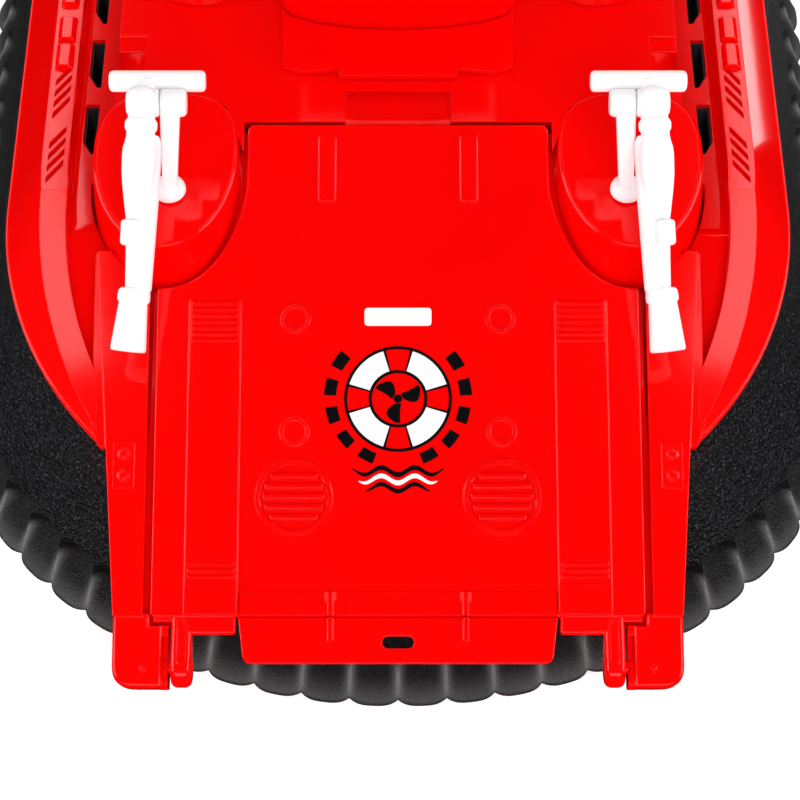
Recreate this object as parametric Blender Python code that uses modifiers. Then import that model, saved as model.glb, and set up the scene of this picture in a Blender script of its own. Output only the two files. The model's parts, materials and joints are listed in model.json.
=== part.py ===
"""Toy rescue hovercraft with a bow ramp, two water monitors and three ducted propellers.

Metres, +Z up. The bow points along -Y and +X is the craft's own port side, named left here.
The origin is on the floor, under the middle of the craft's length and width.
"""
import math

import bmesh
import bpy
import numpy as np
from mathutils import Matrix, Vector

# Plan of the skirt at the floor and of the red hull's rim above it.
SKIRT_HALF = 0.125
SKIRT_BOW_CENTRE = -0.0973
SKIRT_BOW_LENGTH = 0.1025
SKIRT_STERN = 0.2068
SKIRT_CORNER = 0.055
RIM_HALF = 0.105
RIM_BOW_CENTRE = -0.0753
RIM_STERN = 0.1893
RIM_CORNER = 0.042

# Skirt: lobes that flare in as they rise, and the grained band above them, as height and way in from the plan.
LOBE_COUNT = 92
LOBE_STEPS = 3
LOBE_NOTCH = 0.0017
LOBE_FLARE = 0.40
SKIRT_TOP = 0.0444
BAND_FOOT = 0.0190
SKIRT_BAND = (
    (0.0, -0.0030), (0.0120, 0.0020), (0.0190, 0.0078), (0.0270, 0.0118), (0.0340, 0.0152), (0.0400, 0.0182),
    (SKIRT_TOP, 0.0206),
)
SKIRT_INSIDE = ((0.0, 0.0046), (0.0240, 0.0142), (0.0360, 0.0192), (0.0422, 0.0210))

# Heights of the hull.
RIM_UNDER = 0.0447
RIM_TOP = 0.0467
RIM_STEP = 0.0005
LEDGE_Z = 0.0700
TRENCH_Z = 0.0620
TRENCH_DROP = 0.0045
DECK_Z = 0.0760
DECK_PLATE = 0.0045
LEDGE_HALF = 0.0925
STRIP_WIDTH = 0.0070
DECK_HALF = 0.0740
DECK_STERN = 0.1813
TRENCH_STERN = 0.1693
GAP = 0.0003
SEAT = 0.0005
BITE = 0.0010

# Openings and small forms of the deck and of the strips along its sides.
NOTCH_HALF = 0.0137
NOTCH_BACK = -0.0595
NOTCH_DEPTH = 0.0025
RECESS_INNER = 0.0668
RECESS_FRONT = -0.0520
RECESS_STEP = -0.0440
RECESS_BACK = -0.0400
RECESS_DEPTH = 0.0028
SLOT_INNER = 0.0800
SLOT_OUTER = 0.0836
SLOT_LENGTH = 0.0168
SLOT_PITCH = 0.0228
SLOT_FIRST = -0.0691
SLOT_TOTAL = 10
LOUVRE_INNER = 0.0868
LOUVRE_OUTER = 0.0908
LOUVRE_SLANT = 0.0056
LOUVRE_WIDTH = 0.0020
LOUVRE_DEPTH = 0.0014
LOUVRE_PITCH = 0.0037
LOUVRE_GROUPS = (-0.0625, -0.0838, 0.0560, 0.0736)
BLOCK_STARTS = (-0.0469, -0.0373, -0.0248, -0.0127, -0.0006, 0.0115, 0.0236, 0.0357)
BLOCK_LENGTH = 0.0083
BLOCK_RISE = 0.0016
BLOCK_FOOT = 0.0004
BLOCK_DRAFT = 0.0010
BLOCK_LAP = 0.0006
TRENCH_SHARE = 0.46
SLOT_CORNER = (0.0023, 0.0042)
LOUVRES_EACH = 4

# Bow slope: the plane of the ramp's face, from its top edge on the deck down to the foot.
SLOPE = math.radians(20.0)
SLOPE_TOP_Y = -0.0705
BAY_DEPTH = 0.0300
NOTCH_LAP = 0.0040
BEYOND = 0.2000
ABOVE = 0.0800
OVER = 0.1000
RAMP_LENGTH = 0.1275
RAMP_FOOT_HALF = 0.0612
RAMP_TOP_HALF = 0.0388
RAMP_THICK = 0.0030
RAMP_GAP = 0.0009

VENT_X = 0.0260
VENT_ALONG = 0.0978
VENT_OUTER = 0.0098
VENT_INNER = 0.0083
VENT_SLAT = 0.0018
VENT_SLAT_PITCH = 0.0030
VENT_RISE = 0.0008
BOLT_ALONG = (0.0518, 0.0810)
BOLT_OUTER = 0.0038
BOLT_INNER = 0.0028
BOLT_RISE = 0.0005
TRACK_INNER = 0.0397
TRACK_OUTER = 0.0530
TRACK_START = 0.0468
TRACK_RISE = 0.0007
PAD_INNER = 0.0160
PAD_OUTER = 0.0205
PAD_ALONG = (0.0030, 0.0208)
PAD_RISE = 0.0005
FOOT_BAR_INNER = 0.0400
FOOT_BAR_OUTER = 0.0512
FOOT_BAR_END = 0.1318
FOOT_BAR_DROPS = (0.0002, 0.0024)

# Ramp hinge, ears and lip.
HINGE_Y = -0.2005
HINGE_Z = 0.0250
EAR_RADIUS = 0.0060
EAR_INNER = 0.0568
EAR_OUTER = 0.0705
ARM_INNER = 0.0508
ARM_OUTER = 0.0560
ARM_RADIUS = 0.0050
PIN_RADIUS = 0.0018
CHEEK_START = 0.0336
CHEEK_HALF = 0.0768
CHEEK_THICK = 0.0050
CHEEK_SEAT = CHEEK_THICK + GAP
CHEEK_ROOM = ((0.0772, CHEEK_START - GAP), (0.0720, 0.2000))
CHEEK_PLATE = (0.0660, 0.0712, 0.0838, 0.0953)
CHEEK_PLATE_RISE = 0.0008
CHEEK_BOLT_X = 0.0686
CHEEK_BOLT_ALONG = (0.0868, 0.0922)
CHEEK_BOLT = (0.0015, 0.0012, 0.0017)
NECK_THICK = 0.0050
PIN_LAP = 0.0002
ARM_ROOT = 0.0040
RAMP_ROOM = 0.0045

# Tongue at the ramp's foot, its slot and its gussets, along the slope from the ramp's top edge.
LIP_HALF = 0.0395
LIP_DRAFT = 0.0014
LIP_END = 0.1390
LIP_THICK = 0.0018
LIP_CORNER = 0.0024
LIP_SLOT_HALF = 0.0039
LIP_SLOT_ALONG = (0.1322, 0.1352)
LIP_SLOT_CORNER = 0.0012
GUSSET_INNER = 0.0160
GUSSET_OUTER = 0.0174
GUSSET_END = 0.1335
GUSSET_HEIGHT = 0.0022

# Hold under the deck.
HOLD_FLOOR = 0.0240
HOLD_HALF = 0.0570
HOLD_BACK = 0.0240
HOLD_BOW = -0.1600
HOLD_HIGH = 0.0545
HOLD_NECK_BOW = -0.1100
TUB_BOW = -0.1560
POST_X = 0.0450
POST_PLACES = (-0.1500, -0.0700, 0.0100, 0.1300)
POST_RADIUS = 0.0040
HOLD_NECK = 0.0370
PAN_Z = 0.0050
PLATE = 0.0020

# Pedestals and water monitors, given for the +X side and mirrored.
PEDESTAL_TOP = 0.0755
PEDESTAL_DRAFT = 0.0016
PEDESTAL_WAIST = 0.0600
PEDESTAL_STERN = (0.80, 0.0080)
SHOULDER_GAP = 0.0012
PEDESTAL_TILT = math.radians(3.0)
PEDESTAL_FOOT = 0.0576
PEDESTAL_X = 0.0597
PEDESTAL_HALF = 0.0202
PEDESTAL_BOW_CENTRE = -0.0795
PEDESTAL_BOW = 0.0300
PEDESTAL_BACK = -0.0600
MONITOR_X = 0.0579
MONITOR_Y = -0.0917
PIVOT_Y = -0.0820
PIVOT_Z = 0.0985
BARREL_X = 0.0636
BARREL_DROOP = math.radians(30.0)
BARREL_SPLAY = math.radians(3.0)
BARREL_LENGTH = 0.0615
LEVER_LIFT = 0.0044
TURNTABLE = (0.0046, 0.0038, 0.0024)
RISER_HALF = (0.0017, 0.0024)
RISER_LEAN = 0.0004
BOSS_RADIUS = 0.0031
BOSS_INNER = 0.0026
BOSS_OUTER = 0.0016
TRUNNION_RADIUS = 0.0024
BARREL_STRETCHES = (
    (-0.0020, 0.0050, 0.0034, 0.0038),
    (0.0045, 0.0072, 0.0040, 0.0040),
    (0.0067, 0.0110, 0.0035, 0.0042),
    (0.0105, 0.0215, 0.0044, 0.0044),
    (0.0210, 0.0470, 0.0040, 0.0031),
    (0.0460, 0.0495, 0.0040, 0.0040),
    (0.0490, BARREL_LENGTH, 0.0036, 0.0044),
)
LEVER_START = (0.0190, 0.0024)
LEVER_END = (0.0301, 0.0355)
LEVER_RADII = (0.0030, 0.0019, 0.0023)
LEVER_SHIFT = 0.0004
HANDLE_SEAT = (-0.0060, -0.0021)
HANDLE_REACH = (0.0142, 0.0096)
HANDLE_RADIUS = 0.0026
STALK_RADIUS = 0.0022

# Deckhouse, bridge, mast.
HOUSE_HALF = 0.0310
HOUSE_FRONT = -0.0392
HOUSE_BOW = 0.0080
HOUSE_BACK = 0.1000
HOUSE_TOP = 0.1020
BRIDGE_HALF = 0.0260
BRIDGE_FRONT = -0.0260
BRIDGE_BACK = 0.0300
BRIDGE_TOP = 0.1250
DOOR_STARTS = (-0.0100, 0.0620)
DOOR_LENGTH = 0.0120
DOOR_LEVELS = (0.0030, 0.0035)
DOOR_STEP = 0.0008
PORT_STARTS = (0.0085, 0.0205, 0.0325, 0.0445)
PORT_LENGTH = 0.0080
PORT_LEVELS = (0.0120, 0.0070)
WINDOW_TOTAL = 5
WINDOW_LEVELS = (0.0090, 0.0040)
FRONT_WINDOW_PITCH = 0.0094
FRONT_WINDOW_HALF = 0.0038
SIDE_WINDOW_FIRST = 0.0090
SIDE_WINDOW_PITCH = 0.0096
SIDE_WINDOW_HALF = 0.0036
GLAZING_WALL = 0.0012
ROOF_LAP = 0.0020
ROOF_TOP = BRIDGE_TOP + 0.0032
LAMP_X = 0.0165
LAMP_POST_RADIUS = 0.0017
LAMP_POST_RISE = 0.0035
LAMP_RISE = 0.0068
LAMP_PROFILE = (
    (0.0, 0.0075), (0.0034, 0.0070), (0.0042, 0.0058), (0.0046, 0.0), (0.0040, 0.0), (0.0037, 0.0018), (0.0, 0.0018)
)
MAST_TOP = 0.1720
MAST_Y = 0.0120
MAST_RADII = (0.0045, 0.0025)
YARD = (0.0180, 0.0015, 0.1520, 0.1545)
RADAR_FOOT = 0.0060
RADAR_RADIUS = 0.0032
RADAR_BAR = (0.0150, 0.0020, 0.0040)
INTAKE_X = 0.0533
INTAKE_PLACES = ((-0.0130, "front"), (0.0460, "rear"))
INTAKE_RADII = (0.0170, 0.0160)
INTAKE_RISE = 0.0050
INTAKE_WELL = 0.0135
INTAKE_BAR_PITCH = 0.0046
INTAKE_BAR_HALF = 0.0008
INTAKE_BAR_LEVELS = (0.0010, 0.0040)
PANEL_RISE = 0.0018
PANEL_FRONT = ((0.0152, -0.0555), (0.0158, -0.0531), (0.0250, -0.0541), (0.0303, -0.0521))

# Ducted propellers.
DUCT_RADIUS = 0.0330
DUCT_WALL = 0.0030
DUCT_FRONT = 0.1465
DUCT_BACK = 0.1805
DUCT_Z = DECK_Z + 0.0060 + DUCT_RADIUS
DUCT_SPACING = 0.0690
PROPELLER_RADIUS = 0.0275
PROPELLER_Y = 0.1605
HUB_RADIUS = 0.0060
SHAFT_RADIUS = 0.0018
DUCT_LIP = ((0.0030, 0.0030), (0.0020, 0.0), (0.0006, 0.0006), (0.0, 0.0024))
DUCT_TAPER = 0.0012
DUCT_FOOT_HALF = 0.0130
DUCT_FOOT_INSETS = (0.0040, 0.0030)
STAY_RADIUS = 0.0016
STAY_BEHIND = 0.0130
POD_RADII = (0.0070, 0.0050)
POD_AHEAD = 0.0050
SHAFT_HALF = 0.0060
HUB_AHEAD = 0.0048
HUB_BEHIND = 0.0045
NOSE_LENGTH = 0.0040
NOSE_RADIUS = 0.0025
BLADE_TOTAL = 5
BLADE_STATIONS = (
    (0.0045, 0.0045, 0.0010, 0.90),
    (0.0140, 0.0062, 0.0009, 0.65),
    (0.0230, 0.0062, 0.0007, 0.50),
    (PROPELLER_RADIUS, 0.0040, 0.0006, 0.45),
)
RUDDER_HEIGHT = 0.0550
RUDDER_CHORD = 0.0150
RUDDER_SPACING = 0.0200
RUDDER_HALF = 0.0010
TIE_LAP = 0.0070
TIE_LENGTH = 0.0040
TIE_HEIGHT = 0.0018

RED = (0.85, 0.01, 0.01)
WHITE = (0.92, 0.90, 0.91)
BLACK = (0.015, 0.015, 0.017)
DARK = (0.03, 0.03, 0.035)


def clear_scene():
    """Remove what the new file holds."""
    for item in list(bpy.data.objects):
        bpy.data.objects.remove(item, do_unlink=True)


def collection(name):
    """A collection linked to the scene."""
    found = bpy.data.collections.get(name)
    if found is None:
        found = bpy.data.collections.new(name)
        bpy.context.scene.collection.children.link(found)
    return found


def material(name, colour, roughness, metallic=0.0):
    """A plain finish."""
    found = bpy.data.materials.get(name)
    if found is not None:
        return found
    finish = bpy.data.materials.new(name)
    finish.use_nodes = True
    shader = finish.node_tree.nodes["Principled BSDF"]
    shader.inputs["Base Color"].default_value = (*colour, 1.0)
    shader.inputs["Roughness"].default_value = roughness
    shader.inputs["Metallic"].default_value = metallic
    return finish


def red_plastic():
    return material("red_plastic", RED, 0.18)


def white_plastic():
    return material("white_plastic", WHITE, 0.30)


def black_skirt():
    return material("black_skirt", BLACK, 0.45)


def black_plastic():
    return material("black_plastic", DARK, 0.40)


def dark_glazing():
    return material("dark_glazing", (0.02, 0.03, 0.05), 0.08)


def mesh_object(name, mesh, finish, group="hovercraft"):
    """Link a mesh as a named object."""
    item = bpy.data.objects.new(name, mesh)
    if finish is not None:
        mesh.materials.clear()
        mesh.materials.append(finish)
    collection(group).objects.link(item)
    return item


def from_bmesh(name, bm, finish, group="hovercraft"):
    """Turn a bmesh into an object with outward faces."""
    bmesh.ops.recalc_face_normals(bm, faces=bm.faces)
    mesh = bpy.data.meshes.new(name)
    bm.to_mesh(mesh)
    bm.free()
    return mesh_object(name, mesh, finish, group)


def box(name, low, high, finish, group="hovercraft"):
    """A box between two corners."""
    bm = bmesh.new()
    bmesh.ops.create_cube(bm, size=1.0)
    low, high = Vector(low), Vector(high)
    size = high - low
    bmesh.ops.scale(bm, vec=size, verts=bm.verts)
    bmesh.ops.translate(bm, vec=(low + high) / 2, verts=bm.verts)
    return from_bmesh(name, bm, finish, group)


def cylinder(name, start, end, radius, finish, end_radius=None, sides=24, group="hovercraft"):
    """A cylinder or cone from one point to another."""
    start, end = Vector(start), Vector(end)
    along = end - start
    tip = radius if end_radius is None else end_radius
    bm = bmesh.new()
    bmesh.ops.create_cone(
        bm, cap_ends=True, segments=sides, radius1=radius, radius2=tip, depth=along.length
    )
    turn = Vector((0, 0, 1)).rotation_difference(along.normalized()).to_matrix().to_4x4()
    bmesh.ops.transform(bm, matrix=Matrix.Translation((start + end) / 2) @ turn, verts=bm.verts)
    return from_bmesh(name, bm, finish, group)


def turned(name, profile, centre, axis, finish, sides=32, closed=False, group="hovercraft"):
    """Turn a profile of radius and height about an axis through a point, with a Screw modifier."""
    mesh = bpy.data.meshes.new(name)
    edges = [(i, i + 1) for i in range(len(profile) - 1)]
    if closed:
        edges.append((len(profile) - 1, 0))
    mesh.from_pydata([(radius, 0.0, height) for radius, height in profile], edges, [])
    guide = mesh_object(name, mesh, None, "cutters")
    screw = guide.modifiers.new("turn", "SCREW")
    screw.steps = sides
    screw.render_steps = sides
    screw.use_merge_vertices = True
    screw.merge_threshold = 0.00005
    bpy.context.view_layer.update()
    graph = bpy.context.evaluated_depsgraph_get()
    bm = bmesh.new()
    bm.from_mesh(guide.evaluated_get(graph).data)
    bpy.data.objects.remove(guide, do_unlink=True)
    bmesh.ops.remove_doubles(bm, verts=bm.verts, dist=0.00002)
    turn = Vector((0, 0, 1)).rotation_difference(Vector(axis).normalized()).to_matrix().to_4x4()
    bmesh.ops.transform(bm, matrix=Matrix.Translation(Vector(centre)) @ turn, verts=bm.verts)
    return from_bmesh(name, bm, finish, group)


def prism(name, outline, low, high, finish, group="hovercraft"):
    """A flat outline in X and Y, raised from one height to another."""
    bm = bmesh.new()
    ring = [bm.verts.new((x, y, low)) for x, y in outline]
    face = bm.faces.new(ring)
    lifted = bmesh.ops.extrude_face_region(bm, geom=[face])
    moved = [item for item in lifted["geom"] if isinstance(item, bmesh.types.BMVert)]
    bmesh.ops.translate(bm, vec=(0, 0, high - low), verts=moved)
    return from_bmesh(name, bm, finish, group)


def loft(name, rings, finish, group="hovercraft"):
    """Skin closed rings of equal point counts, with flat caps on the first and last."""
    bm = bmesh.new()
    rows = [[bm.verts.new(point) for point in ring] for ring in rings]
    count = len(rows[0])
    for lower, upper in zip(rows, rows[1:]):
        for i in range(count):
            j = (i + 1) % count
            bm.faces.new((lower[i], lower[j], upper[j], upper[i]))
    bm.faces.new(rows[0])
    bm.faces.new(rows[-1])
    return from_bmesh(name, bm, finish, group)


def apply_transform(item):
    """Put an object's place into its mesh."""
    bpy.context.view_layer.update()
    item.data.transform(item.matrix_world)
    item.matrix_world = Matrix.Identity(4)


def boolean(target, cutter, operation):
    """Apply a Boolean and remove its other object."""
    modifier = target.modifiers.new("boolean", "BOOLEAN")
    modifier.operation = operation
    modifier.object = cutter
    bpy.context.view_layer.update()
    graph = bpy.context.evaluated_depsgraph_get()
    mesh = bpy.data.meshes.new_from_object(target.evaluated_get(graph))
    target.modifiers.clear()
    old = target.data
    target.data = mesh
    bpy.data.meshes.remove(old)
    bpy.data.objects.remove(cutter, do_unlink=True)


def cut(target, *cutters):
    for cutter in cutters:
        boolean(target, cutter, "DIFFERENCE")


def join(target, *others):
    for other in others:
        boolean(target, other, "UNION")


def smooth(item, angle=35.0):
    """Shade round pieces smooth and keep their corners."""
    item.data.shade_smooth()
    item.data.set_sharp_from_angle(angle=math.radians(angle))


def mirrored(item, name):
    """A copy on the other side of the craft."""
    apply_transform(item)
    copy = item.data.copy()
    copy.name = name
    copy.transform(Matrix.Scale(-1.0, 4, Vector((1, 0, 0))))
    copy.flip_normals()
    twin = bpy.data.objects.new(name, copy)
    collection("hovercraft").objects.link(twin)
    return twin


def slope_point(x, along, drop=0.0):
    """A point on the bow slope: across, down from the ramp's top edge, and below its face."""
    y = SLOPE_TOP_Y - along * math.cos(SLOPE) + drop * math.sin(SLOPE)
    z = DECK_Z - along * math.sin(SLOPE) - drop * math.cos(SLOPE)
    return (x, y, z)


def slope_slab(name, outline, top_drop, bottom_drop, finish, group="hovercraft"):
    """A slab lying along the bow slope, from an outline of across and along values."""
    lower = [slope_point(x, s, bottom_drop) for x, s in outline]
    upper = [slope_point(x, s, top_drop) for x, s in outline]
    return loft(name, [lower, upper], finish, group)


def plan_outline(share, half, bow_centre, bow_length, stern, corner):
    """Half of a plan: bow quarter ellipse, side, corner arc and half transom, share 0 to 4."""
    if share <= 1.0:
        angle = share * math.pi / 2
        return half * math.sin(angle), bow_centre - bow_length * math.cos(angle)
    if share <= 2.0:
        return half, bow_centre + (stern - corner - bow_centre) * (share - 1.0)
    if share <= 3.0:
        angle = (share - 2.0) * math.pi / 2
        x = half - corner + corner * math.cos(angle)
        return x, stern - corner + corner * math.sin(angle)
    return (half - corner) * (4.0 - share), stern


def skirt_plan(share, inset=0.0):
    return plan_outline(
        share, SKIRT_HALF - inset, SKIRT_BOW_CENTRE, SKIRT_BOW_LENGTH - inset,
        SKIRT_STERN - inset, SKIRT_CORNER - inset * 0.6,
    )


def rim_plan(share, inset=0.0):
    return plan_outline(
        share, RIM_HALF - inset, RIM_BOW_CENTRE, RIM_HALF - inset,
        RIM_STERN - inset, RIM_CORNER - inset * 0.6,
    )


def even_shares(plan, count):
    """Shares that divide the half plan into stretches of equal length."""
    dense = np.linspace(0.0, 4.0, 1601)
    points = np.array([plan(share) for share in dense])
    steps = np.hypot(*np.diff(points, axis=0).T)
    length = np.concatenate([[0.0], np.cumsum(steps)])
    return np.interp(np.linspace(0.0, length[-1], count + 1), length, dense)


def full_ring(half_points):
    """Mirror half a ring, bow to stern, into a whole closed one."""
    back = [(-x, y, *rest) for x, y, *rest in half_points[-2:0:-1]]
    return list(half_points) + back


def plan_ring(plan, inset, z, shares):
    return full_ring([(*plan(share, inset), z) for share in shares])


def rim_reach(share):
    """How much further in than along the sides the rim lies, where the bow curves of rim and skirt part."""
    if share >= 2.0:
        return 0.0
    lead = RIM_BOW_CENTRE - SKIRT_BOW_CENTRE
    if share > 1.0:
        ahead = max(0.0, RIM_BOW_CENTRE - skirt_plan(share)[1])
        way = SKIRT_HALF - math.sqrt(RIM_HALF ** 2 - ahead ** 2)
    else:
        across, along = math.sin(share * math.pi / 2), math.cos(share * math.pi / 2)
        offset = lead + SKIRT_BOW_LENGTH * along
        middle = SKIRT_HALF * across ** 2 + offset * along
        way = middle - math.sqrt(middle ** 2 - (SKIRT_HALF * across) ** 2 - offset ** 2 + RIM_HALF ** 2)
    return max(0.0, way - (SKIRT_HALF - RIM_HALF))


def band_lean(share, z):
    """Extra way in at a height, which brings the band's top under the rim all round."""
    rise = min(1.0, max(0.0, (z - BAND_FOOT) / (SKIRT_TOP - BAND_FOOT)))
    return rim_reach(share) * rise


def outer_way(share, z, crest):
    """How far inside the plan the skirt's outer face lies: its lobe's wall or the band, the further in."""
    lobe = LOBE_FLARE * z + LOBE_NOTCH * (1.0 - crest ** 0.3)
    return max(lobe, float(np.interp(z, *zip(*SKIRT_BAND))) + band_lean(share, z))


def inner_wall(share, z, clear=0.0):
    """Plan of the skirt's inner face at a height, with room kept clear of it."""
    return skirt_plan(share, float(np.interp(z, *zip(*SKIRT_INSIDE))) + band_lean(share, z) + clear)


def build_skirt():
    """Fluted black skirt: one wall, open beneath, cut away under the bow ramp."""
    shares = even_shares(skirt_plan, LOBE_COUNT * LOBE_STEPS // 2)
    rings = []
    for z, _ in SKIRT_BAND:
        half = []
        for i, share in enumerate(shares):
            crest = abs(math.sin(math.pi * i / LOBE_STEPS)) if i % LOBE_STEPS else 0.0
            half.append((*skirt_plan(share, outer_way(share, z, crest)), z))
        rings.append(full_ring(half))
    for z, _ in reversed(SKIRT_INSIDE):
        rings.append(full_ring([(*inner_wall(share, z), z) for share in shares]))
    bm = bmesh.new()
    rows = [[bm.verts.new(point) for point in ring] for ring in rings]
    count = len(rows[0])
    for lower, upper in zip(rows, rows[1:] + rows[:1]):
        for i in range(count):
            j = (i + 1) % count
            bm.faces.new((lower[i], lower[j], upper[j], upper[i]))
    skirt = from_bmesh("skirt", bm, black_skirt())
    room = sorted_box(-CHEEK_HALF, CHEEK_HALF, 0.0, BEYOND)
    wedge = slope_slab("skirt_bow_cut", room, -ABOVE, CHEEK_SEAT, None, "cutters")
    cut(skirt, wedge)
    return skirt


def lip_inset(share):
    """How far in from the rim the side's upper edge lies: in full aft, less where the bow slope cuts it."""
    full = RIM_HALF - LEDGE_HALF
    if share >= 1.0:
        return full
    fall = math.tan(SLOPE)
    ahead = math.cos(share * math.pi / 2)
    rise = (LEDGE_Z - RIM_TOP) / full
    drop = (SLOPE_TOP_Y - RIM_BOW_CENTRE + RIM_HALF * ahead) * fall
    return min(full, max(0.0, (DECK_Z - RIM_TOP - drop) / (rise - fall * ahead)))


def hull_blank():
    """The red upper hull before its openings: rim, sloping side, ledge and deck."""
    shares = [i / 32 for i in range(33)] + [2.0] + [2.0 + i / 12 for i in range(1, 13)] + [4.0]
    rings = [
        plan_ring(rim_plan, 0.0, RIM_UNDER, shares),
        plan_ring(rim_plan, 0.0, RIM_TOP, shares),
        plan_ring(rim_plan, RIM_STEP, RIM_TOP, shares),
        plan_ring(rim_plan, RIM_HALF - LEDGE_HALF, LEDGE_Z, shares),
    ]
    hull = loft("hull_shell", rings, red_plastic())
    join(hull, box("deck_top", (-DECK_HALF, -0.120, TRENCH_Z), (DECK_HALF, DECK_STERN, DECK_Z), None))
    return hull


def hull_shell():
    """Red upper hull with ramp bay, hold, side trenches, slots, louvres and pedestal pockets."""
    hull = hull_blank()
    bow_trim = slope_slab("bow_trim", sorted_box(-BEYOND, BEYOND, 0.0, BEYOND), -ABOVE, 0.0, None, "cutters")
    cheek_seat = slope_slab(
        "cheek_seat", [*CHEEK_ROOM, *((-x, along) for x, along in reversed(CHEEK_ROOM))],
        -ABOVE, CHEEK_SEAT, None, "cutters",
    )
    bay = slope_slab("ramp_bay", ramp_outline(RAMP_GAP, True), -BAY_DEPTH, BAY_DEPTH, None, "cutters")
    notch = cutter_box((-NOTCH_HALF, SLOPE_TOP_Y - NOTCH_LAP, DECK_Z - NOTCH_DEPTH), (NOTCH_HALF, NOTCH_BACK, OVER))
    cut(hull, bow_trim, cheek_seat, bay, notch)
    for side in (-1, 1):
        pocket = prism(
            f"pocket_{side}", pedestal_outline(side, -GAP), PEDESTAL_FOOT - GAP, OVER, None, "cutters"
        )
        cut(hull, trench_cutter(side), pocket, shoulder_room(side), *recess_cutters(side))
        for i in range(SLOT_TOTAL):
            cut(hull, slot_cutter(side, SLOT_FIRST + SLOT_PITCH * i))
        for start in LOUVRE_GROUPS:
            for i in range(LOUVRES_EACH):
                cut(hull, louvre_cutter(side, start + LOUVRE_PITCH * i))
        join(hull, *strip_blocks(side))
    lower = cutter_box((-HOLD_HALF, HOLD_BOW, 0.0), (HOLD_HALF, HOLD_BACK, HOLD_HIGH))
    upper = cutter_box((-HOLD_NECK, HOLD_NECK_BOW, 0.0), (HOLD_NECK, HOLD_BACK, DECK_Z - DECK_PLATE))
    cut(hull, lower, upper)
    return hull


def cutter_box(low, high):
    """A box that only cuts."""
    return box("cutter", low, high, None, "cutters")


def trench_cutter(side):
    """Side trench: its outer wall follows the strip round the bow, its floor follows the bow slope."""
    places = [(LEDGE_HALF - STRIP_WIDTH, TRENCH_STERN)]
    for i in range(25):
        share = 1.0 - TRENCH_SHARE * i / 24
        x, y = rim_plan(share, lip_inset(share) + STRIP_WIDTH)
        if x > DECK_HALF - BITE:
            places.append((x, y))
    rings = []
    for x, y in places:
        slope_floor = DECK_Z - (SLOPE_TOP_Y - y) * math.tan(SLOPE) - TRENCH_DROP / math.cos(SLOPE)
        floor = min(TRENCH_Z, slope_floor)
        near = DECK_HALF if y > PEDESTAL_BOW_CENTRE else DECK_HALF - BITE - SEAT
        rings.append([(side * near, y, floor), (side * x, y, floor), (side * x, y, OVER), (side * near, y, OVER)])
    return loft(f"trench_{side}", rings, None, "cutters")


def recess_cutters(side):
    """Two-step recess in the deck's side, ahead of the intakes."""
    inner, outer = side * RECESS_INNER, side * (DECK_HALF + PLATE)
    low, high = sorted((inner, outer))
    shallow = cutter_box((low, RECESS_FRONT, DECK_Z - RECESS_DEPTH / 2), (high, RECESS_BACK, OVER))
    deep = cutter_box((low, RECESS_FRONT, DECK_Z - RECESS_DEPTH), (high, RECESS_STEP, OVER - SEAT))
    return [shallow, deep]


def slot_cutter(side, start):
    """Through slot in the trench floor, with its outer bow corner cut off."""
    corner_x, corner_y = SLOT_OUTER - SLOT_CORNER[0], start + SLOT_CORNER[1]
    outline = [
        (SLOT_INNER, start), (corner_x, start), (SLOT_OUTER, corner_y),
        (SLOT_OUTER, start + SLOT_LENGTH), (SLOT_INNER, start + SLOT_LENGTH),
    ]
    return prism(f"slot_{side}", [(side * x, y) for x, y in outline], 0.03, 0.08, None, "cutters")


def louvre_cutter(side, start):
    """Slanted louvre groove in a side strip."""
    half = LOUVRE_WIDTH / 2
    outline = [
        (LOUVRE_INNER, start + LOUVRE_SLANT - half), (LOUVRE_OUTER, start - half),
        (LOUVRE_OUTER, start + half), (LOUVRE_INNER, start + LOUVRE_SLANT + half),
    ]
    return prism(
        f"louvre_{side}", [(side * x, y) for x, y in outline], LEDGE_Z - LOUVRE_DEPTH, 0.08, None, "cutters"
    )


def strip_blocks(side):
    """Row of raised blocks with sloping sides along a side strip."""
    blocks = []
    for start in BLOCK_STARTS:
        rings = []
        for z, inset in ((LEDGE_Z - BITE, 0.0), (LEDGE_Z + BLOCK_FOOT, 0.0), (LEDGE_Z + BLOCK_RISE, BLOCK_DRAFT)):
            low, high = LOUVRE_INNER + inset, LOUVRE_OUTER + BLOCK_LAP - inset
            near, far = start + inset * 0.5, start + BLOCK_LENGTH - inset * 0.5
            rings.append([(side * low, near, z), (side * high, near, z), (side * high, far, z), (side * low, far, z)])
        blocks.append(loft(f"block_{side}_{start}", rings, None))
    return blocks


def ramp_outline(grow=0.0, open_foot=False):
    """Ramp's outline on the bow slope, across and along, with the curve round each pedestal."""
    half = []
    top = RAMP_TOP_HALF + grow
    foot = RAMP_FOOT_HALF + grow
    half.append((top, -grow))
    centre = (SLOPE_TOP_Y - PEDESTAL_BOW_CENTRE) / math.cos(SLOPE)
    reach_x = PEDESTAL_HALF + RAMP_GAP - grow
    lean = RAMP_THICK * math.tan(SLOPE)
    reach_s = PEDESTAL_BOW / math.cos(SLOPE) + lean + RAMP_GAP - grow
    for i in range(1, 13):
        angle = math.pi / 2 * i / 12
        x = PEDESTAL_X - reach_x * math.cos(angle)
        if x > top:
            half.append((x, centre + reach_s * math.sin(angle)))
    half.append((foot, centre + reach_s + 0.0004))
    half.append((foot, 0.20 if open_foot else RAMP_LENGTH))
    return half + [(-x, s) for x, s in reversed(half)]


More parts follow.
